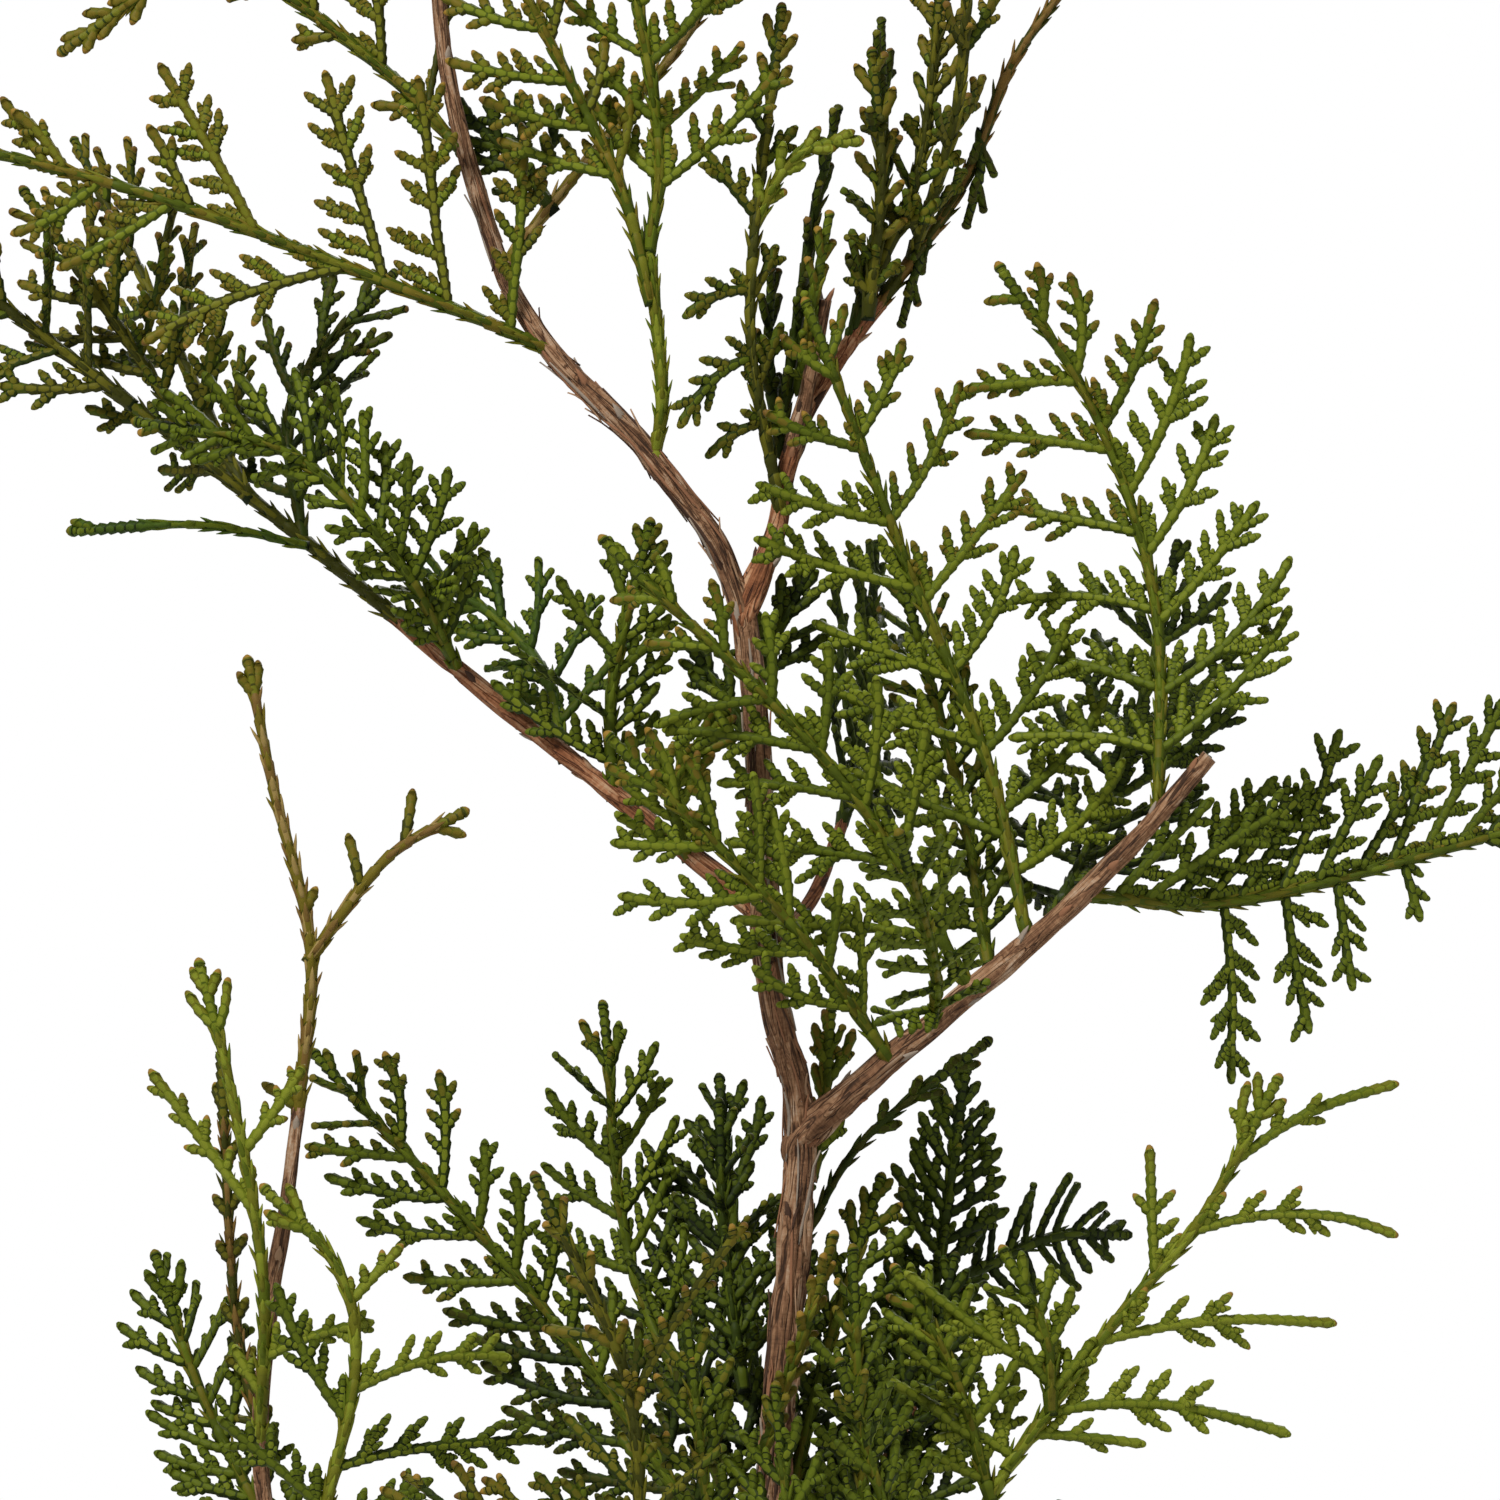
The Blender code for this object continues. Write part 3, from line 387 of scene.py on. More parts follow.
# Short shoots that are too small to be solids of their own, written as the sprays are
smallShoots = {
    "besideFork": dict(
        group="left", yaw=0, reach=(7, 11), tone="dark", stem=[(-3, 5, 280), (0, 5, 288), (6, 7, 300)],
    ),
    "leftOfFork": dict(
        group="left", yaw=10, reach=(6, 6), tone="dark", stem=[(-4, 2, 272), (-9, 5, 280), (-14, 5, 287)],
    ),
    "belowBough": dict(
        group="right", yaw=20, reach=(6, 8), tone="bright", stem=[(6, 4, 202), (8, 8, 214), (9, 6, 228)],
    ),
    "thinEdgeOn": dict(
        group="left", yaw=70, reach=(3, 3), tone="cool", firstTwig=0.9, leafy=0.7,
        stem=[(-76, 7, 303), (-92, 0, 306), (-112, -3, 305)], radius=(0.75, 0.6),
    ),
    "leftShootFork": dict(
        group="shoots", yaw=0, reach=(3, 3), tone="bare", firstTwig=0.88, subs=0.4, leafy=0.15,
        stem=[(-74, -6, 237), (-65.6, -6, 248.5), (-59.6, -6, 254.6), (-49.8, -6, 260)], radius=(1.0, 0.8),
        forks=((0.42, -1, 8, 46, 0), (0.70, -1, 8, 44, 0), (0.86, 1, 4, 40, 0)),
    ),
    "reddishShoot": dict(
        group="shoots", yaw=0, reach=(3, 3), tone="scaly", pitch=9, subs=0.4,
        stem=[(-81, -8, 158), (-86, -2, 178), (-88, -2, 209), (-88.5, -2, 221)], radius=(0.9, 0.7),
    ),
    "leftOfTrunk": dict(
        group="middle", yaw=0, reach=(10, 10), tone="dark", stem=[(-5, 5, 168), (-8, 8, 190), (-9, 8, 213)],
    ),
    "archingTip": dict(
        group="upper", yaw=10, reach=(4, 3), tone="lime", subs=0.4,
        stem=[(-3, -5, 354), (1, -7, 362), (6, -7, 366), (13, -7, 367)], radius=(0.9, 0.8),
    ),
    "besideLeader": dict(
        group="upper", yaw=70, reach=(5, 5), tone="deep", pitch=6,
        stem=[(1, 3, 322), (4, 1, 341), (6, -1, 354), (10, -2, 372)],
    ),
    "besideLeaderBright": dict(
        group="upper", yaw=60, reach=(4, 4), tone="bright",
        stem=[(4, 2, 328), (6, -3, 341), (8.6, -4, 355)],
    ),
    "leftOfStub": dict(
        group="upper", yaw=60, reach=(5, 5), tone="deep", pitch=6,
        stem=[(1, 4, 318), (-1, 3, 332), (-0.5, 1, 347)],
    ),
    "uprightInner": dict(
        group="upper", yaw=10, reach=(6, 5), tone="bronze", pitch=6.6,
        stem=[(15, 2, 340), (17, -3, 362), (15.5, -5, 381)],
    ),
    "uprightOuter": dict(
        group="upper", yaw=-14, reach=(6, 8), tone="bronze", ripeFrom=0.3, pitch=7,
        stem=[(17, 4, 348), (23.5, 1, 365), (27, 0, 396)],
    ),
    "hangingInner": dict(
        group="upper", yaw=60, reach=(3, 3), tone="deep", leafy=0.9,
        stem=[(25, 9, 353), (23, 8, 348), (20.5, 8, 339)], radius=(0.8, 0.7),
    ),
    "hangingOuter": dict(
        group="upper", yaw=50, reach=(4, 4), tone="deep", leafy=0.9,
        stem=[(33, 11, 369), (33, 10, 363), (31, 10, 355)], radius=(0.8, 0.7),
    ),
    "crossingSide": dict(
        group="upper", yaw=-10, reach=(9, 13), tone="dark",
        stem=[(-36, 4, 357), (-42, 7, 365), (-52, 8, 374)],
    ),
    "behindRight": dict(
        group="back", yaw=-12, reach=(9, 10), tone="mid",
        stem=[(34, -6, 236), (30, 14, 262), (20, 22, 300)],
    ),
    "behindLowRight": dict(
        group="middle", yaw=-8, reach=(16, 15), tone="dark", ripeFrom=0.9, pitch=5,
        stem=[(1, 2, 112), (20, 10, 150), (29, 12, 188)],
    ),
    "lowRightInner": dict(
        group="middle", yaw=10, reach=(10, 13), tone="bright", ripeFrom=0.7, pitch=6,
        stem=[(34, -18, 152), (28, -23, 172), (19, -24, 188)],
    ),
    "lowRightUpright": dict(
        group="middle", yaw=6, reach=(9, 11), tone="bright", ripeFrom=0.7, pitch=6,
        stem=[(43.5, -21, 166), (42.5, -24, 178), (36, -25, 191)],
    ),
    "hangingTip": dict(
        group="upper", yaw=0, reach=(4, 4), tone="olive", firstTwig=0.3, pitch=5, leafy=0.8,
        stem=[(-95, 4, 395), (-103, 3, 390), (-114, 2, 382)], radius=(0.9, 0.8),
    ),
    "rightOfTrunk": dict(
        group="middle", yaw=-10, reach=(9, 13), tone="mid", shadedFootTone="dark", ripeFrom=0.6, pitch=6,
        stem=[(2, 4, 148), (8, 8, 172), (17, 8, 201)],
    ),
    "rightOfTrunkLow": dict(
        group="middle", yaw=14, reach=(10, 10), tone="dark", pitch=6,
        stem=[(2, 2, 128), (13, 4, 150), (25, 4, 178)],
    ),
    "behindBough": dict(
        group="middle", yaw=20, reach=(3, 4), tone="deep", firstTwig=0.5, pitch=7, leafy=0.4,
        stem=[(4, 4, 190), (14, 8, 207), (34, 8, 223)], radius=(0.75, 0.6),
    ),
    "footNearLeft": dict(
        group="middle", yaw=10, reach=(10, 11), tone="mid", shadedFootTone="dark", ripeFrom=0.6, pitch=7.5,
        stem=[(-2, -24, 108), (-9, -40, 140), (-14, -46, 182)],
    ),
    "footNearMiddle": dict(
        group="middle", yaw=-24, reach=(13, 12), tone="mid", shadedFootTone="dark", ripeFrom=0.7, pitch=7.5,
        stem=[(2, -26, 104), (3, -44, 134), (0, -50, 171)],
    ),
    "footNearRight": dict(
        group="middle", yaw=24, reach=(8, 9), tone="mid", shadedFootTone="dark", ripeFrom=0.8, pitch=7.5,
        stem=[(6, -24, 104), (20, -44, 134), (10, -54, 175)],
    ),
    "bottomTwig": dict(
        group="shoots", yaw=0, reach=(4, 10), tone="bronze", pitch=6, roll=40,
        stem=[(-16, -44, 146), (-40, -52, 151), (-64, -52, 153)],
    ),
    "nearOfTrunk": dict(
        group="middle", yaw=30, reach=(3, 3), tone="olive", subs=0.5,
        stem=[(-2, -36, 160), (4, -40, 178), (9, -42, 194)], radius=(1.0, 0.8),
    ),
}

# The lowest sprays stand round the trunk by a rule
lowest = dict(
    count=7, firstHeight=17, rise=11.5, turn=137.5, start=212, outward=86, upward=66, shrink=0.05, twist=50,
    # painted shade: the lowest sprays take the deep and dark tones
    reach=(28, 28), tones=("deep", "dark", "deep"), shares=((0.0, 0.0), (0.55, 0.34), (1.0, 1.0)),
)


def addLowestSprays():
    for i in range(lowest["count"]):
        turn = math.radians(lowest["start"] + i * lowest["turn"])
        height = lowest["firstHeight"] + i * lowest["rise"]
        outward = lowest["outward"] * (1 - lowest["shrink"] * i)
        stem = [
            (outward * out * math.cos(turn), outward * out * math.sin(turn), height + lowest["upward"] * up)
            for out, up in lowest["shares"]
        ]
        yaw = math.degrees(turn) + 90 + lowest["twist"] * (-1) ** i
        tone = lowest["tones"][i % len(lowest["tones"])]
        sprays[f"lowest_spray_{i + 1}"] = dict(
            group="lowest", yaw=yaw, reach=lowest["reach"], tone=tone, stem=stem
        )


# Routes
def smoothRoute(points, step):
    ends = [2 * points[0] - points[1], *points, 2 * points[-1] - points[-2]]
    found = []
    for before, a, b, after in zip(ends, ends[1:], ends[2:], ends[3:]):
        pieces = max(1, round((b - a).length / step))
        for i in range(pieces):
            t = i / pieces
            bend = (
                2 * a
                + (b - before) * t
                + (2 * before - 5 * a + 4 * b - after) * t**2
                + (3 * a - before - 3 * b + after) * t**3
            )
            found.append(bend / 2)
    return [*found, points[-1].copy()]


def distances(points):
    soFar = [0.0]
    for a, b in zip(points, points[1:]):
        soFar.append(soFar[-1] + (b - a).length)
    return soFar


def placeAt(points, soFar, along):
    i = min(bisect.bisect_right(soFar, along), len(points) - 1) - 1
    i = max(i, 0)
    direction = (points[i + 1] - points[i]).normalized()
    return points[i] + direction * (along - soFar[i]), direction


def faceAt(direction, yaw):
    towards = Vector((math.sin(yaw), -math.cos(yaw), 0.0))
    across = direction.cross(towards)
    if across.length < 0.05:
        across = direction.cross(Vector((1.0, 0.0, 0.0)))
    return across.cross(direction).normalized()


def twoSides(value):
    return value if isinstance(value, tuple) else (value, value)


# Materials
def newMaterial(name, colour, roughness, specular):
    material = bpy.data.materials.new(name)
    material.use_nodes = True
    shader = material.node_tree.nodes["Principled BSDF"]
    shader.inputs["Base Color"].default_value = (*colour, 1.0)
    shader.inputs["Roughness"].default_value = roughness
    shader.inputs["Specular IOR Level"].default_value = specular
    return material, shader


def addNode(material, kind, **settings):
    node = material.node_tree.nodes.new(kind)
    for key, value in settings.items():
        setattr(node, key, value)
    return node


leafFinish = dict(roughness=0.60, specular=0.12, glow=0.05, glowDepth=0.4, glowColour=(0.5, 1.0, 0.2))


def makePlainMaterials():
    made = {}
    for name, colour in foliageColours.items():
        material, shader = newMaterial(name, colour, leafFinish["roughness"], leafFinish["specular"])
        shader.inputs["Subsurface Weight"].default_value = leafFinish["glow"]
        shader.inputs["Subsurface Scale"].default_value = leafFinish["glowDepth"] * mmToM
        shader.inputs["Subsurface Radius"].default_value = leafFinish["glowColour"]
        made[name] = material
    for name, colour in flakeColours.items():
        made[name], _ = newMaterial(name, colour, bark["roughness"], bark["specular"])
    return made


cutWood = dict(colour=(0.30, 0.22, 0.16), roughness=0.8, specular=0.2)
# Each noise of the bark has its size across the limb and along it in mm, its detail and its distortion
bark = dict(
    colours=dict(
        brownBark=(
            (0.0, (0.010, 0.006, 0.004)), (0.24, (0.055, 0.027, 0.014)), (0.42, (0.175, 0.083, 0.040)),
            (0.60, (0.310, 0.170, 0.088)), (0.76, (0.410, 0.285, 0.190)), (1.0, (0.520, 0.440, 0.360)),
        ),
        reddishBark=(
            (0.0, (0.014, 0.006, 0.003)), (0.24, (0.080, 0.028, 0.012)), (0.42, (0.220, 0.080, 0.032)),
            (0.60, (0.360, 0.160, 0.075)), (0.76, (0.460, 0.280, 0.160)), (1.0, (0.540, 0.420, 0.310)),
        ),
    ),
    fibre=(0.36, 5.5, 4.0, 1.2), plates=(2.0, 9.0, 2.0, 0.7), crack=(1.7, 22.0, 2.0, 1.2),
    wrinkle=(1.4, 0.6, 3.0, 0.6), fibreShare=0.55, wrinkleShare=0.35, darker=0.42, crackSharpness=30.0,
    rimSharpness=34.0, crackShade=0.34, rimShade=0.75, bump=0.9, bumpDepth=0.35, fibreHeight=0.6,
    wrinkleHeight=0.4, roughness=0.85, specular=0.2,
)


def makeBarkMaterial(name, colours):
    material, shader = newMaterial(name, colours[2][1], bark["roughness"], bark["specular"])
    links = material.node_tree.links
    uv = addNode(material, "ShaderNodeUVMap", uv_map="UVMap")

    def stretchedNoise(across, along, detail, distortion):
        stretch = addNode(material, "ShaderNodeMapping")
        stretch.inputs["Scale"].default_value = (1 / across, 1 / along, 1.0)
        links.new(uv.outputs["UV"], stretch.inputs["Vector"])
        found = addNode(material, "ShaderNodeTexNoise")
        found.inputs["Scale"].default_value = 1.0
        found.inputs["Detail"].default_value = detail
        found.inputs["Distortion"].default_value = distortion
        links.new(stretch.outputs["Vector"], found.inputs["Vector"])
        return found.outputs["Fac"]

    def mathNode(operation, a, b):
        node = addNode(material, "ShaderNodeMath", operation=operation)
        links.new(a, node.inputs[0])
        if isinstance(b, float):
            node.inputs[1].default_value = b
        else:
            links.new(b, node.inputs[1])
        return node.outputs["Value"]

    # a crack, or the edge of a plate, is where its noise is near its middle value
    def edgesOf(found, sharpness):
        middle = mathNode("ABSOLUTE", mathNode("SUBTRACT", found, 0.5), 0.0)
        return mathNode("MINIMUM", mathNode("MULTIPLY", middle, sharpness), 1.0)

    def dimmedBy(value, edges, shade):
        return mathNode("MULTIPLY", value, mathNode("ADD", mathNode("MULTIPLY", edges, 1 - shade), shade))

    fibre = stretchedNoise(*bark["fibre"])
    plates = stretchedNoise(*bark["plates"])
    wrinkle = stretchedNoise(*bark["wrinkle"])
    cracks = edgesOf(stretchedNoise(*bark["crack"]), bark["crackSharpness"])
    rims = edgesOf(plates, bark["rimSharpness"])
    shade = mathNode("ADD", mathNode("MULTIPLY", fibre, bark["fibreShare"]), plates)
    shade = mathNode("ADD", shade, mathNode("MULTIPLY", wrinkle, bark["wrinkleShare"]))
    shade = mathNode("SUBTRACT", shade, bark["darker"])
    shade = dimmedBy(shade, cracks, bark["crackShade"])
    shade = dimmedBy(shade, rims, bark["rimShade"])
    ramp = addNode(material, "ShaderNodeValToRGB")
    for i, (place, colour) in enumerate(colours):
        element = ramp.color_ramp.elements[i] if i < 2 else ramp.color_ramp.elements.new(place)
        element.position = place
        element.color = (*colour, 1.0)
    links.new(shade, ramp.inputs["Fac"])
    links.new(ramp.outputs["Color"], shader.inputs["Base Color"])
    bump = addNode(material, "ShaderNodeBump")
    bump.inputs["Strength"].default_value = bark["bump"]
    bump.inputs["Distance"].default_value = bark["bumpDepth"] * mmToM
    height = mathNode("MULTIPLY", fibre, bark["fibreHeight"])
    height = mathNode("ADD", height, mathNode("MULTIPLY", wrinkle, bark["wrinkleHeight"]))
    height = mathNode("MULTIPLY", height, mathNode("MULTIPLY", cracks, rims))
    links.new(height, bump.inputs["Height"])
    links.new(bump.outputs["Normal"], shader.inputs["Normal"])
    return material


# Bark meshes: a grid is rolled round the route, with ridges along it, cracks, and a collar at its foot
relief = dict(
    ringStep=0.6, sides=28, ridge=0.20, swelling=0.15, crack=0.20, crackShare=0.14, ridgeLength=11.0,
    crackLength=20.0, swellLength=7.0, footDrop=7, collar=0.30, collarAt=10.0, collarLength=5.0, flare=1.45,
    flareHeight=14.0, start=0.35, startLength=6.0, offset=(3.7, 5.1), ridgeScale=2.2, crackScale=1.3,
    swellScale=0.45, closeness=0.002,
)


# A limb's bark starts a little lower inside its parent, and so comes out of it in a slope
def footOf(limb):
    parent = smoothRoute([mm(p) for p in limbs[limb.get("on", "trunk")]["route"]], mmToM)
    first = mm(limb["route"][0])
    nearest = min(range(len(parent)), key=lambda i: (parent[i] - first).length)
    return parent[max(nearest - relief["footDrop"], 0)]


def barkedRoute(name, limb):
    places = [mm(p) for p in limb["route"]]
    if name != "trunk":
        places = [footOf(limb), *places]
    points = smoothRoute(places, relief["ringStep"] * mmToM)
    kept = points[: round((len(points) - 1) * limb.get("green", 1.0)) + 1]
    sides, side = [], Vector((1.0, 0.0, 0.0))
    last = len(kept) - 1
    for i in range(len(kept)):
        direction = (kept[min(i + 1, last)] - kept[max(i - 1, 0)]).normalized()
        side = (side - direction * side.dot(direction)).normalized()
        sides.append((side.copy(), direction.cross(side), direction))
    return points, kept, sides


def barkRadius(name, limb, share, along, height, turn):
    foot, tip = limb["radius"]
    radius = foot + (tip - foot) * share
    if name == "trunk":
        radius *= 1 + (relief["flare"] - 1) * max(0.0, 1 - height / relief["flareHeight"]) ** 2
    else:
        pastCollar = (along - relief["collarAt"]) / relief["collarLength"]
        radius *= 1 + relief["collar"] * math.exp(-(pastCollar**2))
        radius *= relief["start"] + (1 - relief["start"]) * min(1.0, along / relief["startLength"])
    # each limb reads another stretch of the noise
    seed = len(name) * relief["offset"][0] + len(limb["route"]) * relief["offset"][1]
    ring = Vector((math.cos(turn), math.sin(turn), 0.0)) * radius**0.5
    ridges = noise.noise(ring * relief["ridgeScale"] + Vector((0, 0, along / relief["ridgeLength"] + seed)))
    cracks = noise.noise(ring * relief["crackScale"] + Vector((seed, 0, along / relief["crackLength"])))
    swell = noise.noise(ring * relief["swellScale"] + Vector((0, seed, along / relief["swellLength"])))
    depth = relief["crack"] * max(0.0, 1 - abs(cracks) / relief["crackShare"])
    return radius * (1 + relief["ridge"] * ridges + relief["swelling"] * swell - depth)


def makeBark(name, limb, material, cutMaterial):
    whole, route, sides = barkedRoute(name, limb)
    soFar = distances(route)
    wholeLength = distances(whole)[-1]
    rings = len(route) - 1
    bpy.ops.object.select_all(action="DESELECT")
    bpy.ops.mesh.primitive_grid_add(
        x_subdivisions=limb.get("sides", relief["sides"]), y_subdivisions=rings, size=1.0, calc_uvs=True
    )
    obj = bpy.context.object
    obj.name = name + "_bark"
    obj.data.name = obj.name
    for vertex in obj.data.vertices:
        i = round((vertex.co.y + 0.5) * rings)
        turn = math.tau * (vertex.co.x + 0.5)
        radius = barkRadius(name, limb, soFar[i] / wholeLength, soFar[i] / mmToM, route[i].z / mmToM, turn)
        side, up, _ = sides[i]
        vertex.co = route[i] + (side * math.cos(turn) + up * math.sin(turn)) * radius * mmToM
        if name == "trunk" and i == 0:
            vertex.co.z = 0.0
    uv = obj.data.uv_layers[0]
    places = np.empty(len(uv.data) * 2)
    uv.data.foreach_get("uv", places)
    scale = np.array([math.pi * sum(limb["radius"]), soFar[-1] / mmToM])
    uv.data.foreach_set("uv", (places.reshape(-1, 2) * scale).ravel())
    bpy.ops.object.mode_set(mode="EDIT")
    bpy.ops.mesh.select_all(action="SELECT")
    bpy.ops.mesh.remove_doubles(threshold=relief["closeness"] * mmToM)
    bpy.ops.mesh.select_all(action="DESELECT")
    bpy.ops.mesh.select_non_manifold()
    bpy.ops.mesh.edge_face_add()
    bpy.ops.mesh.select_all(action="SELECT")
    bpy.ops.mesh.normals_make_consistent(inside=False)
    bpy.ops.object.mode_set(mode="OBJECT")
    bpy.ops.object.shade_smooth()
    obj.data.materials.clear()
    obj.data.materials.append(material)
    obj.data.materials.append(cutMaterial)
    for polygon in obj.data.polygons:
        if len(polygon.vertices) > 4:
            polygon.material_index = 1
            polygon.use_smooth = False
    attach(obj, allBody)
    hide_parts(name)


# Strands: a strand is a row of six-sided rings, flat or round. Strands are kept as lists until many of them
# are joined into one mesh. The faces after a ring have an edge colour, and a middle colour along the ridge.
# A ring's middle can be ahead of its edges by its point, as a scale is
def newStrands():
    return dict(starts=[], centres=[], acrosses=[], faces=[], shapes=[], colours=[])


def addRing(strands, centre, across, face, halfWidth, ridge, halfThick, edge, middle, point=0.0):
    strands["centres"].append(centre[:])
    strands["acrosses"].append(across[:])
    strands["faces"].append(face[:])
    strands["shapes"].append((halfWidth, ridge, halfThick, point))
    strands["colours"].append((colourNames.index(edge), colourNames.index(middle)))


def startStrand(strands):
    strands["starts"].append(len(strands["centres"]))


def strandFaces(strands):
    return len(strands["centres"]) * 12 - len(strands["starts"]) * 4


roundRidge = 0.5  # the ridge of a round ring, as a share of its width

# A ring's corners, as shares of the half width, of the ridge's half width and of the half thickness
ringWidths = np.array([1, 0, 0, -1, 0, 0])
ringRidges = np.array([0, 1, -1, 0, -1, 1])
ringThicks = np.array([0, 1, 1, 0, -1, -1])
ringPoints = np.array([0, 1, 1, 0, 1, 1])


def joinStrands(name, strands, materials, nodes):
    centres, acrosses, faces = (np.array(strands[key])[:, None] for key in ("centres", "acrosses", "faces"))
    widths, ridges, thicks, points = np.array(strands["shapes"]).T[:, :, None, None] * mmToM
    out = widths * ringWidths[:, None] + ridges * ringRidges[:, None]
    ahead = np.cross(faces, acrosses) * points * ringPoints[:, None]
    corners = (centres + acrosses * out + faces * thicks * ringThicks[:, None] + ahead).reshape(-1, 3)
    count = len(strands["centres"])
    starts = np.array(strands["starts"])
    ends = np.append(starts[1:], count) - 1
    goesOn = np.setdiff1d(np.arange(count), ends)
    near = goesOn[:, None] * 6 + np.arange(6)
    nearNext = goesOn[:, None] * 6 + (np.arange(6) + 1) % 6
    walls = np.stack([near, nearNext, nearNext + 6, near, nearNext + 6, near + 6], axis=2).reshape(-1, 3)
    fan = np.array([(0, i, i + 1) for i in range(1, 5)])
    footCaps = (starts[:, None, None] * 6 + fan[:, ::-1]).reshape(-1, 3)
    endCaps = (ends[:, None, None] * 6 + fan).reshape(-1, 3)
    triangles = np.concatenate([walls, footCaps, endCaps])
    edge, middle = np.array(strands["colours"]).T
    wallColours = np.stack([edge, middle, edge, edge, middle, edge], axis=1)[goesOn]
    colours = [np.repeat(wallColours.ravel(), 2), np.repeat(edge[starts], 4), np.repeat(edge[ends], 4)]
    colours = np.concatenate(colours)
    used = sorted(set(colours.tolist()))
    mesh = bpy.data.meshes.new(name)
    mesh.vertices.add(len(corners))
    mesh.vertices.foreach_set("co", corners.astype(np.float32).ravel())
    mesh.loops.add(len(triangles) * 3)
    mesh.loops.foreach_set("vertex_index", triangles.astype(np.int32).ravel())
    mesh.polygons.add(len(triangles))
    mesh.polygons.foreach_set("loop_start", np.arange(len(triangles), dtype=np.int32) * 3)
    mesh.polygons.foreach_set("material_index", np.searchsorted(used, colours).astype(np.int32))
    mesh.update(calc_edges=True)
    mesh.validate()
    for index in used:
        mesh.materials.append(materials[colourNames[index]])
    mesh.shade_smooth()
    obj = bpy.data.objects.new(name, mesh)
    bpy.context.scene.collection.objects.link(obj)
    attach(obj, allBody)
    if nodes:
        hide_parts(*nodes)
    print(f"{name}: {len(triangles)} triangles")


# Growth, in mm. A side twig leaves its stem and carries smaller twigs, which carry lobes of a few scales.
# inner and outer are the sides towards the parent's tip and away from it: where the first one stands, as a
# share of the length, how long it is, as a length and a share of its parent's, and its angle
orders = {
    1: dict(
        step=2.0, halfWidth=0.91, halfThick=0.64, bud=0.86, pitch=(2.5, 0.10), least=5.0,
        inner=(0.12, 1.9, 0.22, 52), outer=(0.42, 1.6, 0.25, 43),
    ),
    2: dict(
        step=1.3, halfWidth=0.93, halfThick=0.56, bud=0.74, pitch=(1.6, 0.05), least=3.4,
        inner=(0.20, 1.1, 0.17, 34), outer=(0.36, 1.0, 0.15, 31),
    ),
    3: dict(step=1.15, halfWidth=0.78, halfThick=0.48, bud=0.74),
}
# The rings of one pair of scales, on a side twig and on the smaller ones: the share of the step, the shares
# of the half width for the width and the ridge, the share of the half thickness, and the colours of the edge
# and of the middle after it
axisRings = (
    (0.05, 0.84, 0.30, 0.98, "edge", "middle"),
    (0.45, 0.95, 0.56, 0.76, "edge", "middle"),
    # painted shade: the edge faces after this ring are the gap colour, the crease before the next pair of
    # scales
    (0.88, 1.08, 0.42, 0.90, "gap", "edge"),
)
scaleRings = (
    (0.06, 0.78, 0.28, 0.98, "edge", "middle"),
    (0.42, 0.97, 0.60, 0.66, "edge", "middle"),
    # painted shade: the faces after this ring are the gap colour, the crease before the next pair of scales
    (0.84, 1.12, 0.40, 0.90, "gap", "gap"),
)
# The rings of a bud: how far ahead, the share of the half width, and the point
budRings = ((0.05, 0.98, 0.45), (0.40, 0.94, 0.38), (0.90, 0.66, 0.20), (1.20, 0.24, 0.05))
# The rings of a spike: the share of its length, then shares of its half width, for its width and thickness
spikeRings = ((-0.6, 0.95, 0.5), (0.0, 1.0, 0.55), (0.55, 0.66, 0.42), (1.0, 0.1, 0.1))
# the foot share is how far up a spray's stem its twigs may take the foot tone, painted shade
growth = dict(
    pitch=0.42, shortestPitch=5.2, firstTwig=0.09, shortest=2.8, taper=1.45, taperPower=0.85, angle=54,
    tipAngle=0.66, tipReach=30, angleChange=6, bend=20, roll=13, edgeOn=0.13, edgeOnRoll=(50, 80),
    lift=0.12, tipSubs=0.62, tipSubsReach=45, shadedFootShare=(0.35, 0.55), ripeFrom=0.2, ripening=2.5,
    smallBend=14, sway=14, wander=2.4, narrowing=0.26, point=0.46, ripeTips=0.6, shortOuter=(0.78, 0.013),
    firstLobe=1.2, lastLobe=1.4, smallestLobe=1.3, tipLoss=0.55, lobeLift=0.12,
    stemPoint=0.22, node=3.5, stemRadius=(1.08, 0.80), plainStem=0.6, collar=1.12, flatness=0.87,
    leafyEnd=12.0, leafyShare=0.4, leafyStep=1.6, leafyWidth=(0.98, 0.12), leafyThick=1.1, tender=4,
    stemBud=(1.0, 0.7), routeStep=2.0, sink=1.5,
    spikeShare=0.8, spikeLength=2.5, spikeHalfWidth=0.55, spikeSplay=15, spikeDepth=0.76,
)
# Between which shares of itself a measure varies
vary = dict(
    bend=(0.6, 1.3), width=(0.95, 1.05), firstLobe=(0.85, 1.2), lobe=(0.8, 1.15), lobeAngle=(0.88, 1.12),
    lobePitch=(0.85, 1.2), node=(0.8, 1.2), spike=(0.7, 1.2), spikeSplay=(0.4, 1.6), firstTwig=(0, 0.6),
    twig=(0.80, 1.12), pitch=(0.8, 1.2), flakePitch=(0.7, 1.3),
)


def addScales(strands, place, heading, across, face, step, halfWidth, halfThick, colours, rings=scaleRings):
    shades = dict(zip(("edge", "middle", "gap"), colours))
    for share, width, ridge, thick, edge, middle in rings:
        addRing(strands, place + heading * step * share * mmToM, across, face, halfWidth * width,
                halfWidth * ridge, halfThick * thick, shades[edge], shades[middle], growth["point"] * step)


def addBud(strands, place, heading, across, face, halfWidth, halfThick, colour, tipColour):
    for i, (ahead, share, point) in enumerate(budRings):
        shade = tipColour if i else colour
        addRing(strands, place + heading * ahead * mmToM, across, face, halfWidth * share,
                halfWidth * share * roundRidge, halfThick * share, shade, shade, point)


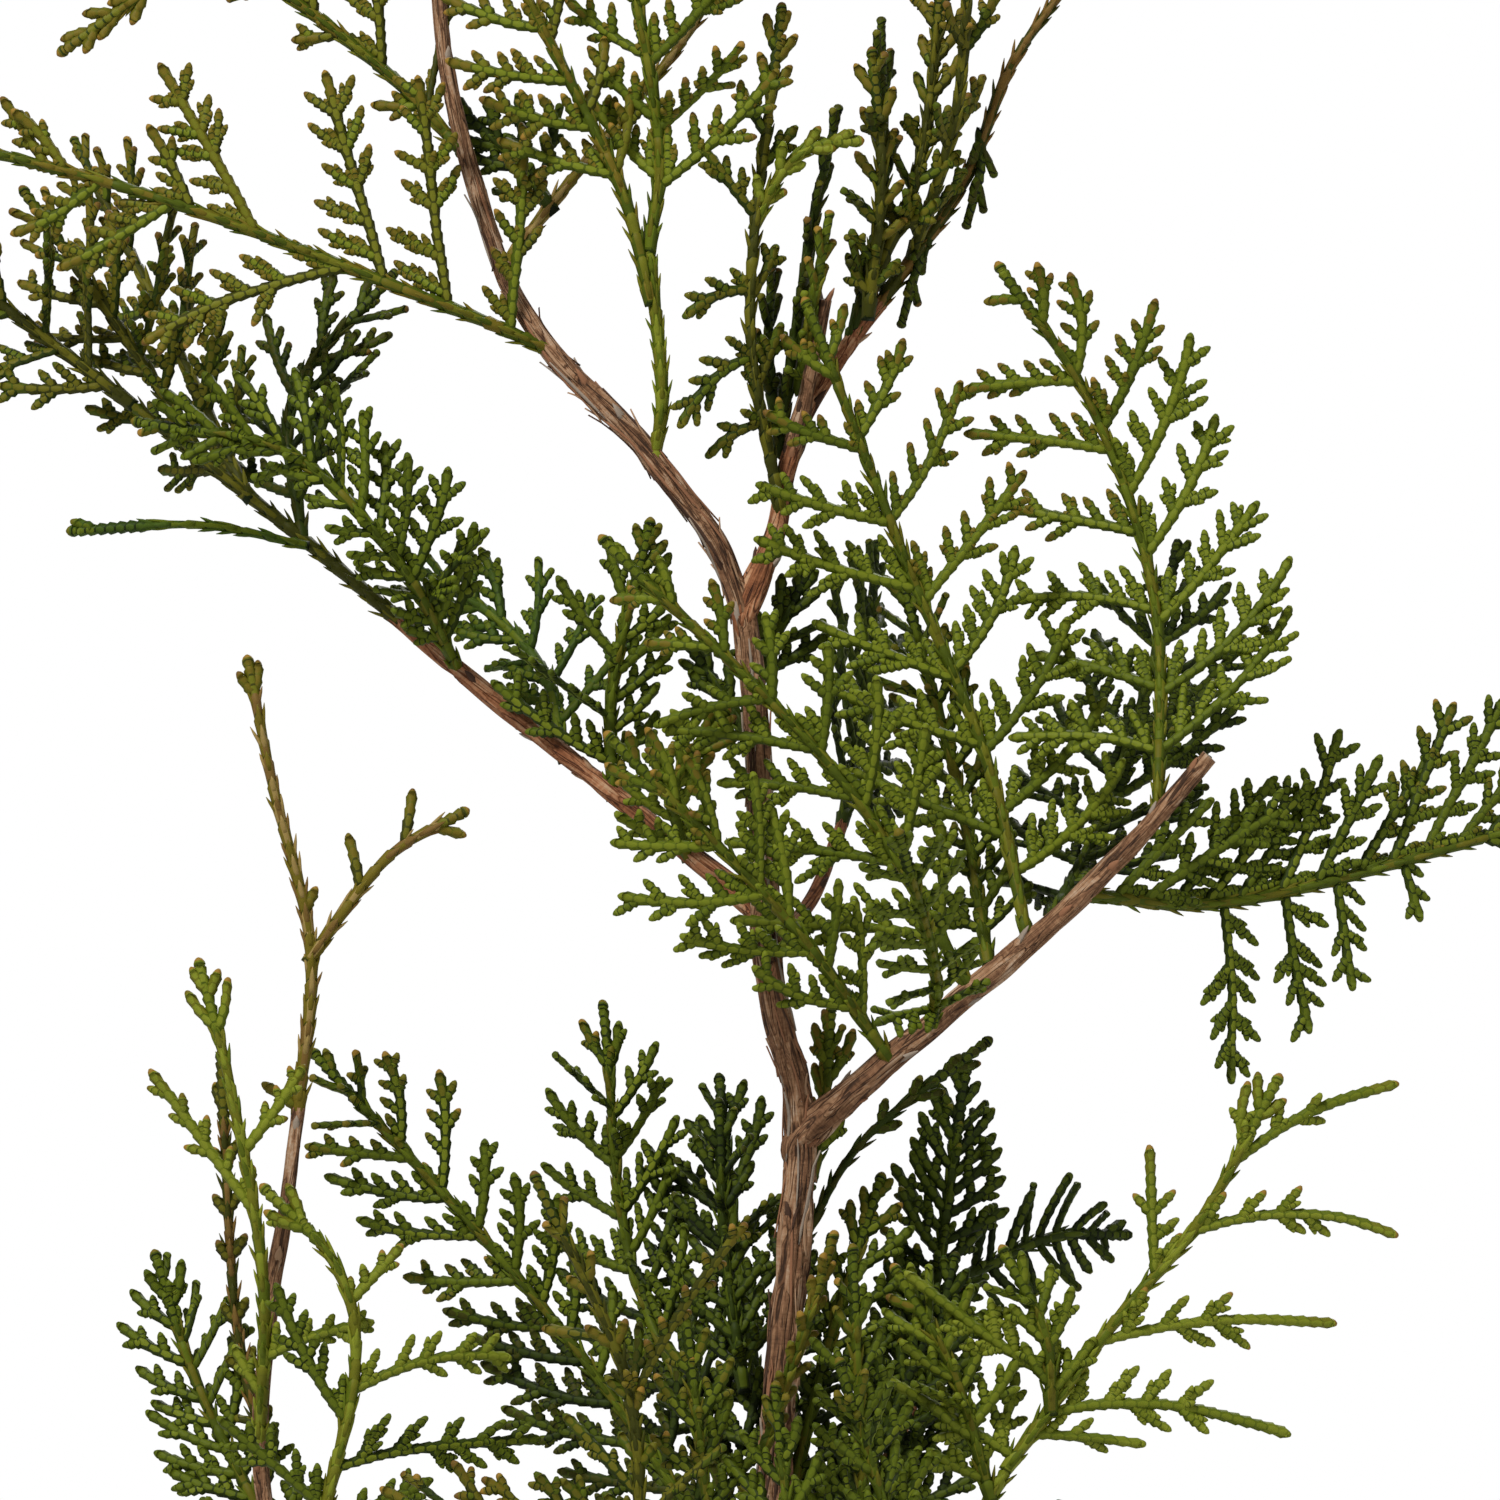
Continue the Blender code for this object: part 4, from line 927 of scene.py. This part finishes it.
def growTwig(strands, start, heading, face, length, order, side, look, chance):
    rule = orders[order]
    steps = max(2, round(length / rule["step"]))
    step = length / steps
    colours = *chance.choice(look["twigs"]), look["gap"]
    if order == 1:
        bend = look["bend"] * chance.uniform(*vary["bend"])
    else:
        bend = chance.uniform(0, growth["smallBend"])
    sway = math.radians(chance.uniform(-1, 1) * growth["sway"] / steps)
    place = start.copy()
    path = []
    startStrand(strands)
    for i in range(steps):
        turn = math.radians(bend * side / steps + chance.uniform(-1, 1) * growth["wander"])
        heading = Matrix.Rotation(turn, 3, face) @ heading
        across = heading.cross(face).normalized()
        heading = (Matrix.Rotation(sway, 3, across) @ heading).normalized()
        face = across.cross(heading)
        if steps - i == (2 if order == 1 else 1):
            colours = *look["ends"], look["gap"]
        narrowing = growth["narrowing"] * ((i + 0.5) / steps) ** 2 if order > 1 else 0.0
        grown = rule["halfWidth"] * chance.uniform(*vary["width"]) * (1 - narrowing)
        rings = axisRings if order == 1 else scaleRings
        addScales(strands, place, heading, across, face, step, grown, rule["halfThick"], colours, rings)
        path.append((place.copy(), heading.copy(), face.copy()))
        place = place + heading * step * mmToM
    ripe = order == 1 or order == 2 and chance.random() < growth["ripeTips"]
    tip = chance.choice(look["tips"]) if ripe else look["ends"][1]
    addBud(strands, place, heading, across, face, rule["halfWidth"] * rule["bud"], rule["halfThick"],
           look["ends"][1], tip)
    if order < 3 and length >= rule["least"]:
        growLobes(strands, path, length, order, side, look, chance)


# The smaller twigs of a twig, on its inner and its outer side
def growLobes(strands, path, length, order, side, look, chance):
    rule = orders[order]
    steps = len(path)
    step = length / steps
    pitch = rule["pitch"][0] + rule["pitch"][1] * length
    subs, last = (look["subs"], length * look["subsEnd"]) if order == 1 else (1.0, length)
    for kind, towards in (("inner", -side), ("outer", side)):
        first, base, share, angle = rule[kind]
        if kind == "outer" and order == 1:
            first = max(first, growth["shortOuter"][0] - growth["shortOuter"][1] * length)
        along = max(growth["firstLobe"], first * length * chance.uniform(*vary["firstLobe"]))
        while along < min(length - growth["lastLobe"], last):
            size = (base + share * length) * (1 - growth["tipLoss"] * along / length)
            size *= chance.uniform(*vary["lobe"])
            size *= subs
            root, rootHeading, rootFace = path[min(int(along / step), steps - 1)]
            turn = math.radians(angle * chance.uniform(*vary["lobeAngle"]))
            outward = rootHeading.cross(rootFace) * towards
            lift = rootFace * chance.uniform(-growth["lobeLift"], growth["lobeLift"])
            heading = (rootHeading * math.cos(turn) + outward * math.sin(turn) + lift).normalized()
            flat = (rootFace - heading * rootFace.dot(heading)).normalized()
            if size > growth["smallestLobe"]:
                growTwig(strands, root, heading, flat, size, order + 1, towards, look, chance)
            along += pitch * chance.uniform(*vary["lobePitch"])


def addSpike(strands, place, direction, outward, length, halfWidth, splay, colour):
    splay = math.radians(splay)
    heading = direction * math.cos(splay) + outward * math.sin(splay)
    face = (outward - heading * outward.dot(heading)).normalized()
    across = heading.cross(face)
    startStrand(strands)
    for share, width, thick in spikeRings:
        addRing(strands, place + heading * share * length * mmToM, across, face, halfWidth * width,
                halfWidth * width * roundRidge, halfWidth * thick, colour, colour)


# The rings of one joint of a stem: its share of the length, how wide, and the colour of its edges; gap is
# painted shade at the joint
stemRings = ((0.05, 0.88, "gap"), (0.14, 0.92, "plain"), (0.6, 0.99, "plain"), (0.96, 1.10, "plain"))


def growStem(strands, route, yaw, radii, look, chance, leafyEnd):
    g = growth
    soFar = distances(route)
    total = soFar[-1] / mmToM
    bare = total - leafyEnd
    startStrand(strands)
    spikes = []
    along = 0.0
    while along < bare:
        plain = look["stem"][0] if chance.random() < g["plainStem"] else chance.choice(look["stem"])
        lit = chance.choice(look["stem"])
        node = min(g["node"] * chance.uniform(*vary["node"]), max(bare - along, 1.0))
        radius = radii[0] + (radii[1] - radii[0]) * along / total
        radius *= g["collar"] if along == 0 else 1.0
        for i, (share, swell, shade) in enumerate(stemRings):
            place, direction = placeAt(route, soFar, (along + share * node) * mmToM)
            face = faceAt(direction, yaw)
            across = direction.cross(face)
            addRing(strands, place, across, face, radius * swell, radius * swell * roundRidge,
                    radius * swell * g["flatness"], plain if shade == "plain" else look["gap"],
                    lit if i else plain, g["stemPoint"] * node)
        for outward in (across, -across, face):
            if chance.random() < g["spikeShare"]:
                foot = place + outward * radius * g["spikeDepth"] * mmToM
                spikes.append((foot, direction, outward, chance.choice(look["stem"])))
        along += node
    # near its end the stem is as leafy as its twigs
    while along < total:
        left = total - along
        step = min(g["leafyStep"], left)
        place, direction = placeAt(route, soFar, along * mmToM)
        face = faceAt(direction, yaw)
        colours = *(look["ends"] if left < g["tender"] else look["twigs"][0]), look["gap"]
        grown = g["leafyWidth"][0] + g["leafyWidth"][1] * min(1.0, left / g["leafyEnd"])
        across = direction.cross(face)
        addScales(strands, place, direction, across, face, step, orders[1]["halfWidth"] * grown,
                  orders[1]["halfThick"] * grown * g["leafyThick"], colours)
        along += step
    addBud(strands, route[-1], direction, across, face, *g["stemBud"], look["ends"][0], look["tips"][0])
    for place, direction, outward, colour in spikes:
        length = g["spikeLength"] * chance.uniform(*vary["spike"])
        splay = g["spikeSplay"] * chance.uniform(*vary["spikeSplay"])
        addSpike(strands, place, direction, outward, length, g["spikeHalfWidth"], splay, colour)


def sideTwigs(spray, total, chance):
    g = growth
    for side in (-1, 1):
        i = max(side, 0)
        reach = spray["reach"][i]
        pitch = twoSides(spray.get("pitch", max(g["shortestPitch"], g["pitch"] * reach)))[i]
        own = {key: twoSides(spray.get(key, g[key]))[i] for key in ("angle", "bend", "firstTwig")}
        fullFrom = spray.get("taper", g["taper"]) * reach
        along = total * own["firstTwig"] + pitch * chance.uniform(*vary["firstTwig"])
        while along < total - g["shortest"]:
            left = total - along
            shorter = min(1.0, left / fullFrom) ** g["taperPower"]
            length = max(g["shortest"], reach * shorter * chance.uniform(*vary["twig"]))
            spread = g["tipAngle"] + (1 - g["tipAngle"]) * min(1.0, left / g["tipReach"])
            angle = own["angle"] * spread + chance.uniform(-1, 1) * g["angleChange"]
            yield side, along, length, angle, own["bend"]
            along += pitch * chance.uniform(*vary["pitch"])
    for share, side, length, angle, bend in spray.get("forks", ()):
        yield side, share * total, length, angle, bend


def growSpray(spray, seed, leaves, twigs):
    g = growth
    chance = random.Random(seed)
    tone = tones[spray["tone"]]
    shadedFootTone = tones[spray.get("shadedFootTone", spray["tone"])]
    points = [mm(p) for p in spray["stem"]]
    points[0] = points[0] + (points[0] - points[1]).normalized() * g["sink"] * mmToM
    route = smoothRoute(points, g["routeStep"] * mmToM)
    soFar = distances(route)
    total = soFar[-1] / mmToM
    yaw = math.radians(spray["yaw"])
    leafyEnd = min(g["leafyEnd"], total * spray.get("leafy", g["leafyShare"]))
    growStem(twigs, route, yaw, spray.get("radius", g["stemRadius"]), tone, chance, leafyEnd)
    edgeOn = 0.0 if "forks" in spray else spray.get("edgeOn", g["edgeOn"])
    for side, along, length, angle, bend in sideTwigs(spray, total, chance):
        root, direction = placeAt(route, soFar, along * mmToM)
        face = faceAt(direction, yaw)
        turn = math.radians(angle)
        outward = direction.cross(face) * side
        lift = face * chance.uniform(-g["lift"], g["lift"])
        heading = (direction * math.cos(turn) + outward * math.sin(turn) + lift).normalized()
        flat = (face - heading * face.dot(heading)).normalized()
        roll = chance.uniform(-1, 1) * spray.get("roll", g["roll"])
        if chance.random() < edgeOn:
            roll = chance.choice((-1, 1)) * chance.uniform(*g["edgeOnRoll"])
        flat = Matrix.Rotation(math.radians(roll), 3, heading) @ flat
        share = along / total
        subs = twoSides(spray.get("subs", 1.0))[max(side, 0)]
        subs *= g["tipSubs"] + (1 - g["tipSubs"]) * min(1.0, (total - along) / g["tipSubsReach"])
        # painted shade: twigs low on the stem take the darker foot tone
        twigTone = shadedFootTone if share < chance.uniform(*g["shadedFootShare"]) else tone
        look = dict(twigTone, bend=bend, subs=subs, subsEnd=spray.get("subsEnd", 1.0))
        if chance.random() < g["ripening"] * (share - spray.get("ripeFrom", g["ripeFrom"])):
            look["ends"] = twigTone.get("ripe", twigTone["ends"])
        else:
            look["tips"] = twigTone["ends"]
        growTwig(leaves, root, heading, flat, length, 1, side, look, chance)


mostFaces = 185000  # of one piece


def growFoliage(materials):
    groups = {}
    for seed, (name, spray) in enumerate([*sprays.items(), *smallShoots.items()]):
        groups.setdefault(spray["group"], []).append((seed, name, spray))
    total = 0
    for group, members in groups.items():
        twigs, leaves, nodes, part = newStrands(), newStrands(), [], 1
        for seed, name, spray in members:
            before = strandFaces(leaves)
            if nodes and before + before / len(nodes) > mostFaces:
                joinStrands(f"{group}_leaves_{part}", leaves, materials, nodes)
                total += before
                leaves, nodes, part = newStrands(), [], part + 1
            growSpray(spray, seed, leaves, twigs)
            if name in sprays:
                nodes.append(name)
        joinStrands(f"{group}_leaves_{part}", leaves, materials, nodes)
        joinStrands(f"{group}_twigs", twigs, materials, [])
        total += strandFaces(leaves) + strandFaces(twigs)
    print("foliage triangles in all:", total)


# The parts of limbs that aren't barked yet, and what stands off the bark: small flakes, and loose strips
greenEnds = dict(share=0.88, overlap=6, leafyEnd=3.0)
flakes = dict(seed=77, pitch=11, first=5.5, length=2.2, halfWidth=0.7, sink=0.25, splay=20, onTrunk=0.4)
strips = dict(
    count=190, length=(6, 20), halfWidth=(0.15, 0.42), halfThick=0.13, lowest=4, highest=0.72, lean=0.03,
    lifts=((0.1, 0.5), (0.1, 1.1)), liftPower=2.5, narrowing=0.75, ridge=0.6, pieces=6, gap=0.02,
)


def addGreenEnd(strands, limb, route, chance):
    foot, tip = limb["radius"]
    foot += (tip - foot) * limb["green"]
    radii = foot * greenEnds["share"], tip * greenEnds["share"]
    growStem(strands, route, 0.0, radii, tones[limb["greenTone"]], chance, greenEnds["leafyEnd"])


# A place on a limb's bark: the limb's middle there, the way out of it, its direction and its radius
def placeOnBark(name, limb, barked, along, turn):
    route, sides, soFar, wholeLength = barked
    i = min(bisect.bisect_left(soFar, along * mmToM), len(route) - 1)
    side, up, direction = sides[i]
    outward = side * math.cos(turn) + up * math.sin(turn)
    radius = barkRadius(name, limb, soFar[i] / wholeLength, along, route[i].z / mmToM, turn)
    return route[i], outward, direction, radius


def addLimbDetails(materials):
    chance = random.Random(flakes["seed"])
    green, brown = newStrands(), newStrands()
    flakeNames = list(flakeColours)
    for name, limb in limbs.items():
        whole, route, sides = barkedRoute(name, limb)
        soFar = distances(route)
        barked = route, sides, soFar, distances(whole)[-1]
        if "green" in limb:
            addGreenEnd(green, limb, whole[len(route) - greenEnds["overlap"]:], chance)
        along = flakes["first"]
        while along < soFar[-1] / mmToM:
            first = chance.uniform(0, math.pi)
            for turn in (first, first + math.pi):
                middle, outward, direction, radius = placeOnBark(name, limb, barked, along, turn)
                if name != "trunk" or chance.random() < flakes["onTrunk"]:
                    foot = middle + outward * (radius - flakes["sink"]) * mmToM
                    length = flakes["length"] * chance.uniform(*vary["spike"])
                    addSpike(brown, foot, direction, outward, length, flakes["halfWidth"], flakes["splay"],
                             chance.choice(flakeNames))
            along += flakes["pitch"] * chance.uniform(*vary["flakePitch"])
        if name == "trunk":
            for _ in range(strips["count"]):
                addStrip(brown, name, limb, barked, chance)
    joinStrands("green_limbs", green, materials, [])
    joinStrands("bark_flakes", brown, materials, [])


# A strip of bark that has come loose at its two ends
def addStrip(strands, name, limb, barked, chance):
    length = chance.uniform(*strips["length"])
    halfWidth = chance.uniform(*strips["halfWidth"])
    middle = chance.uniform(strips["lowest"] + length, strips["highest"] * barked[2][-1] / mmToM)
    turn = chance.uniform(0, math.tau)
    lean = chance.uniform(-strips["lean"], strips["lean"])
    lifts = [chance.uniform(*lift) for lift in strips["lifts"]]
    colour = chance.choice(list(flakeColours))
    startStrand(strands)
    for k in range(strips["pieces"] + 1):
        share = 2 * k / strips["pieces"] - 1
        along = middle + share * length / 2
        around = turn + lean * share * length
        centre, outward, direction, radius = placeOnBark(name, limb, barked, along, around)
        lift = (lifts[0] if share < 0 else lifts[1]) * abs(share) ** strips["liftPower"]
        grown = halfWidth * (1 - strips["narrowing"] * abs(share) ** 3)
        place = centre + outward * (radius + strips["gap"] + lift) * mmToM
        addRing(strands, place, outward.cross(direction), outward, grown, grown * strips["ridge"],
                strips["halfThick"], colour, colour)


# The stage, and each light's name, place, size and power
studio = dict(
    floorRadius=1.3, floorSides=96, worldLight=0.30, camera=(-4, -1600, 270), lens=240, sensor=36,
    nearest=0.05, target=(0, 0, 260),
    floor=dict(colour=(0.70, 0.70, 0.70), roughness=0.7, specular=0.2),
    lights=(
        ("keyLight", (-650, -900, 1450), 0.30, 27),
        ("fillLight", (1100, -900, 500), 0.8, 3),
        ("rimLight", (300, 1100, 1000), 0.6, 8),
    ),
)


def makeStage():
    bpy.ops.object.select_all(action="DESELECT")
    sides, radius = studio["floorSides"], studio["floorRadius"]
    bpy.ops.mesh.primitive_circle_add(vertices=sides, radius=radius, fill_type="NGON")
    floor = bpy.context.object
    floor.name = "paleFloor"
    material, _ = newMaterial("paleFloor", **studio["floor"])
    floor.data.materials.append(material)
    floor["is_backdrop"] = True
    world = bpy.data.worlds.new("studio")
    bpy.context.scene.world = world
    world.use_nodes = True
    nodes, links = world.node_tree.nodes, world.node_tree.links
    lit = nodes["Background"]
    lit.inputs["Color"].default_value = (1.0, 1.0, 1.0, 1.0)
    lit.inputs["Strength"].default_value = studio["worldLight"]
    seen = nodes.new("ShaderNodeBackground")
    seen.inputs["Color"].default_value = (1.0, 1.0, 1.0, 1.0)
    seen.inputs["Strength"].default_value = 1.0
    rays = nodes.new("ShaderNodeLightPath")
    mix = nodes.new("ShaderNodeMixShader")
    links.new(rays.outputs["Is Camera Ray"], mix.inputs["Fac"])
    links.new(lit.outputs["Background"], mix.inputs[1])
    links.new(seen.outputs["Background"], mix.inputs[2])
    links.new(mix.outputs["Shader"], nodes["World Output"].inputs["Surface"])


def addSoftLight(name, place, size, power):
    light = bpy.data.lights.new(name, "AREA")
    light.shape = "DISK"
    light.size = size
    light.energy = power
    obj = bpy.data.objects.new(name, light)
    obj.location = mm(place)
    obj.rotation_euler = (mm(studio["target"]) - mm(place)).to_track_quat("-Z", "Y").to_euler()
    bpy.context.scene.collection.objects.link(obj)


def makeCamera():
    camera = bpy.data.cameras.new("camera")
    camera.sensor_width = studio["sensor"]
    camera.lens = studio["lens"]
    camera.clip_start = studio["nearest"]
    obj = bpy.data.objects.new("camera", camera)
    obj.location = mm(studio["camera"])
    obj.rotation_euler = (math.pi / 2, 0.0, 0.0)
    bpy.context.scene.collection.objects.link(obj)
    bpy.context.scene.camera = obj


def main():
    makeCamera()
    makeStage()
    bpy.context.scene.view_settings.view_transform = "Standard"
    for light in studio["lights"]:
        addSoftLight(*light)
    print("stage ready")
    barks = {name: makeBarkMaterial(name, colours) for name, colours in bark["colours"].items()}
    cutMaterial, _ = newMaterial("cutWood", **cutWood)
    for name, limb in limbs.items():
        makeBark(name, limb, barks[limb.get("bark", "brownBark")], cutMaterial)
    print("bark ready")
    materials = makePlainMaterials()
    addLimbDetails(materials)
    addLowestSprays()
    growFoliage(materials)
    print("foliage ready")


main()
plain = [[[float(n) for n in corner] for corner in box] for box in (cadBox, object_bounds())]
dict(cad=plain[0], visual=plain[1])
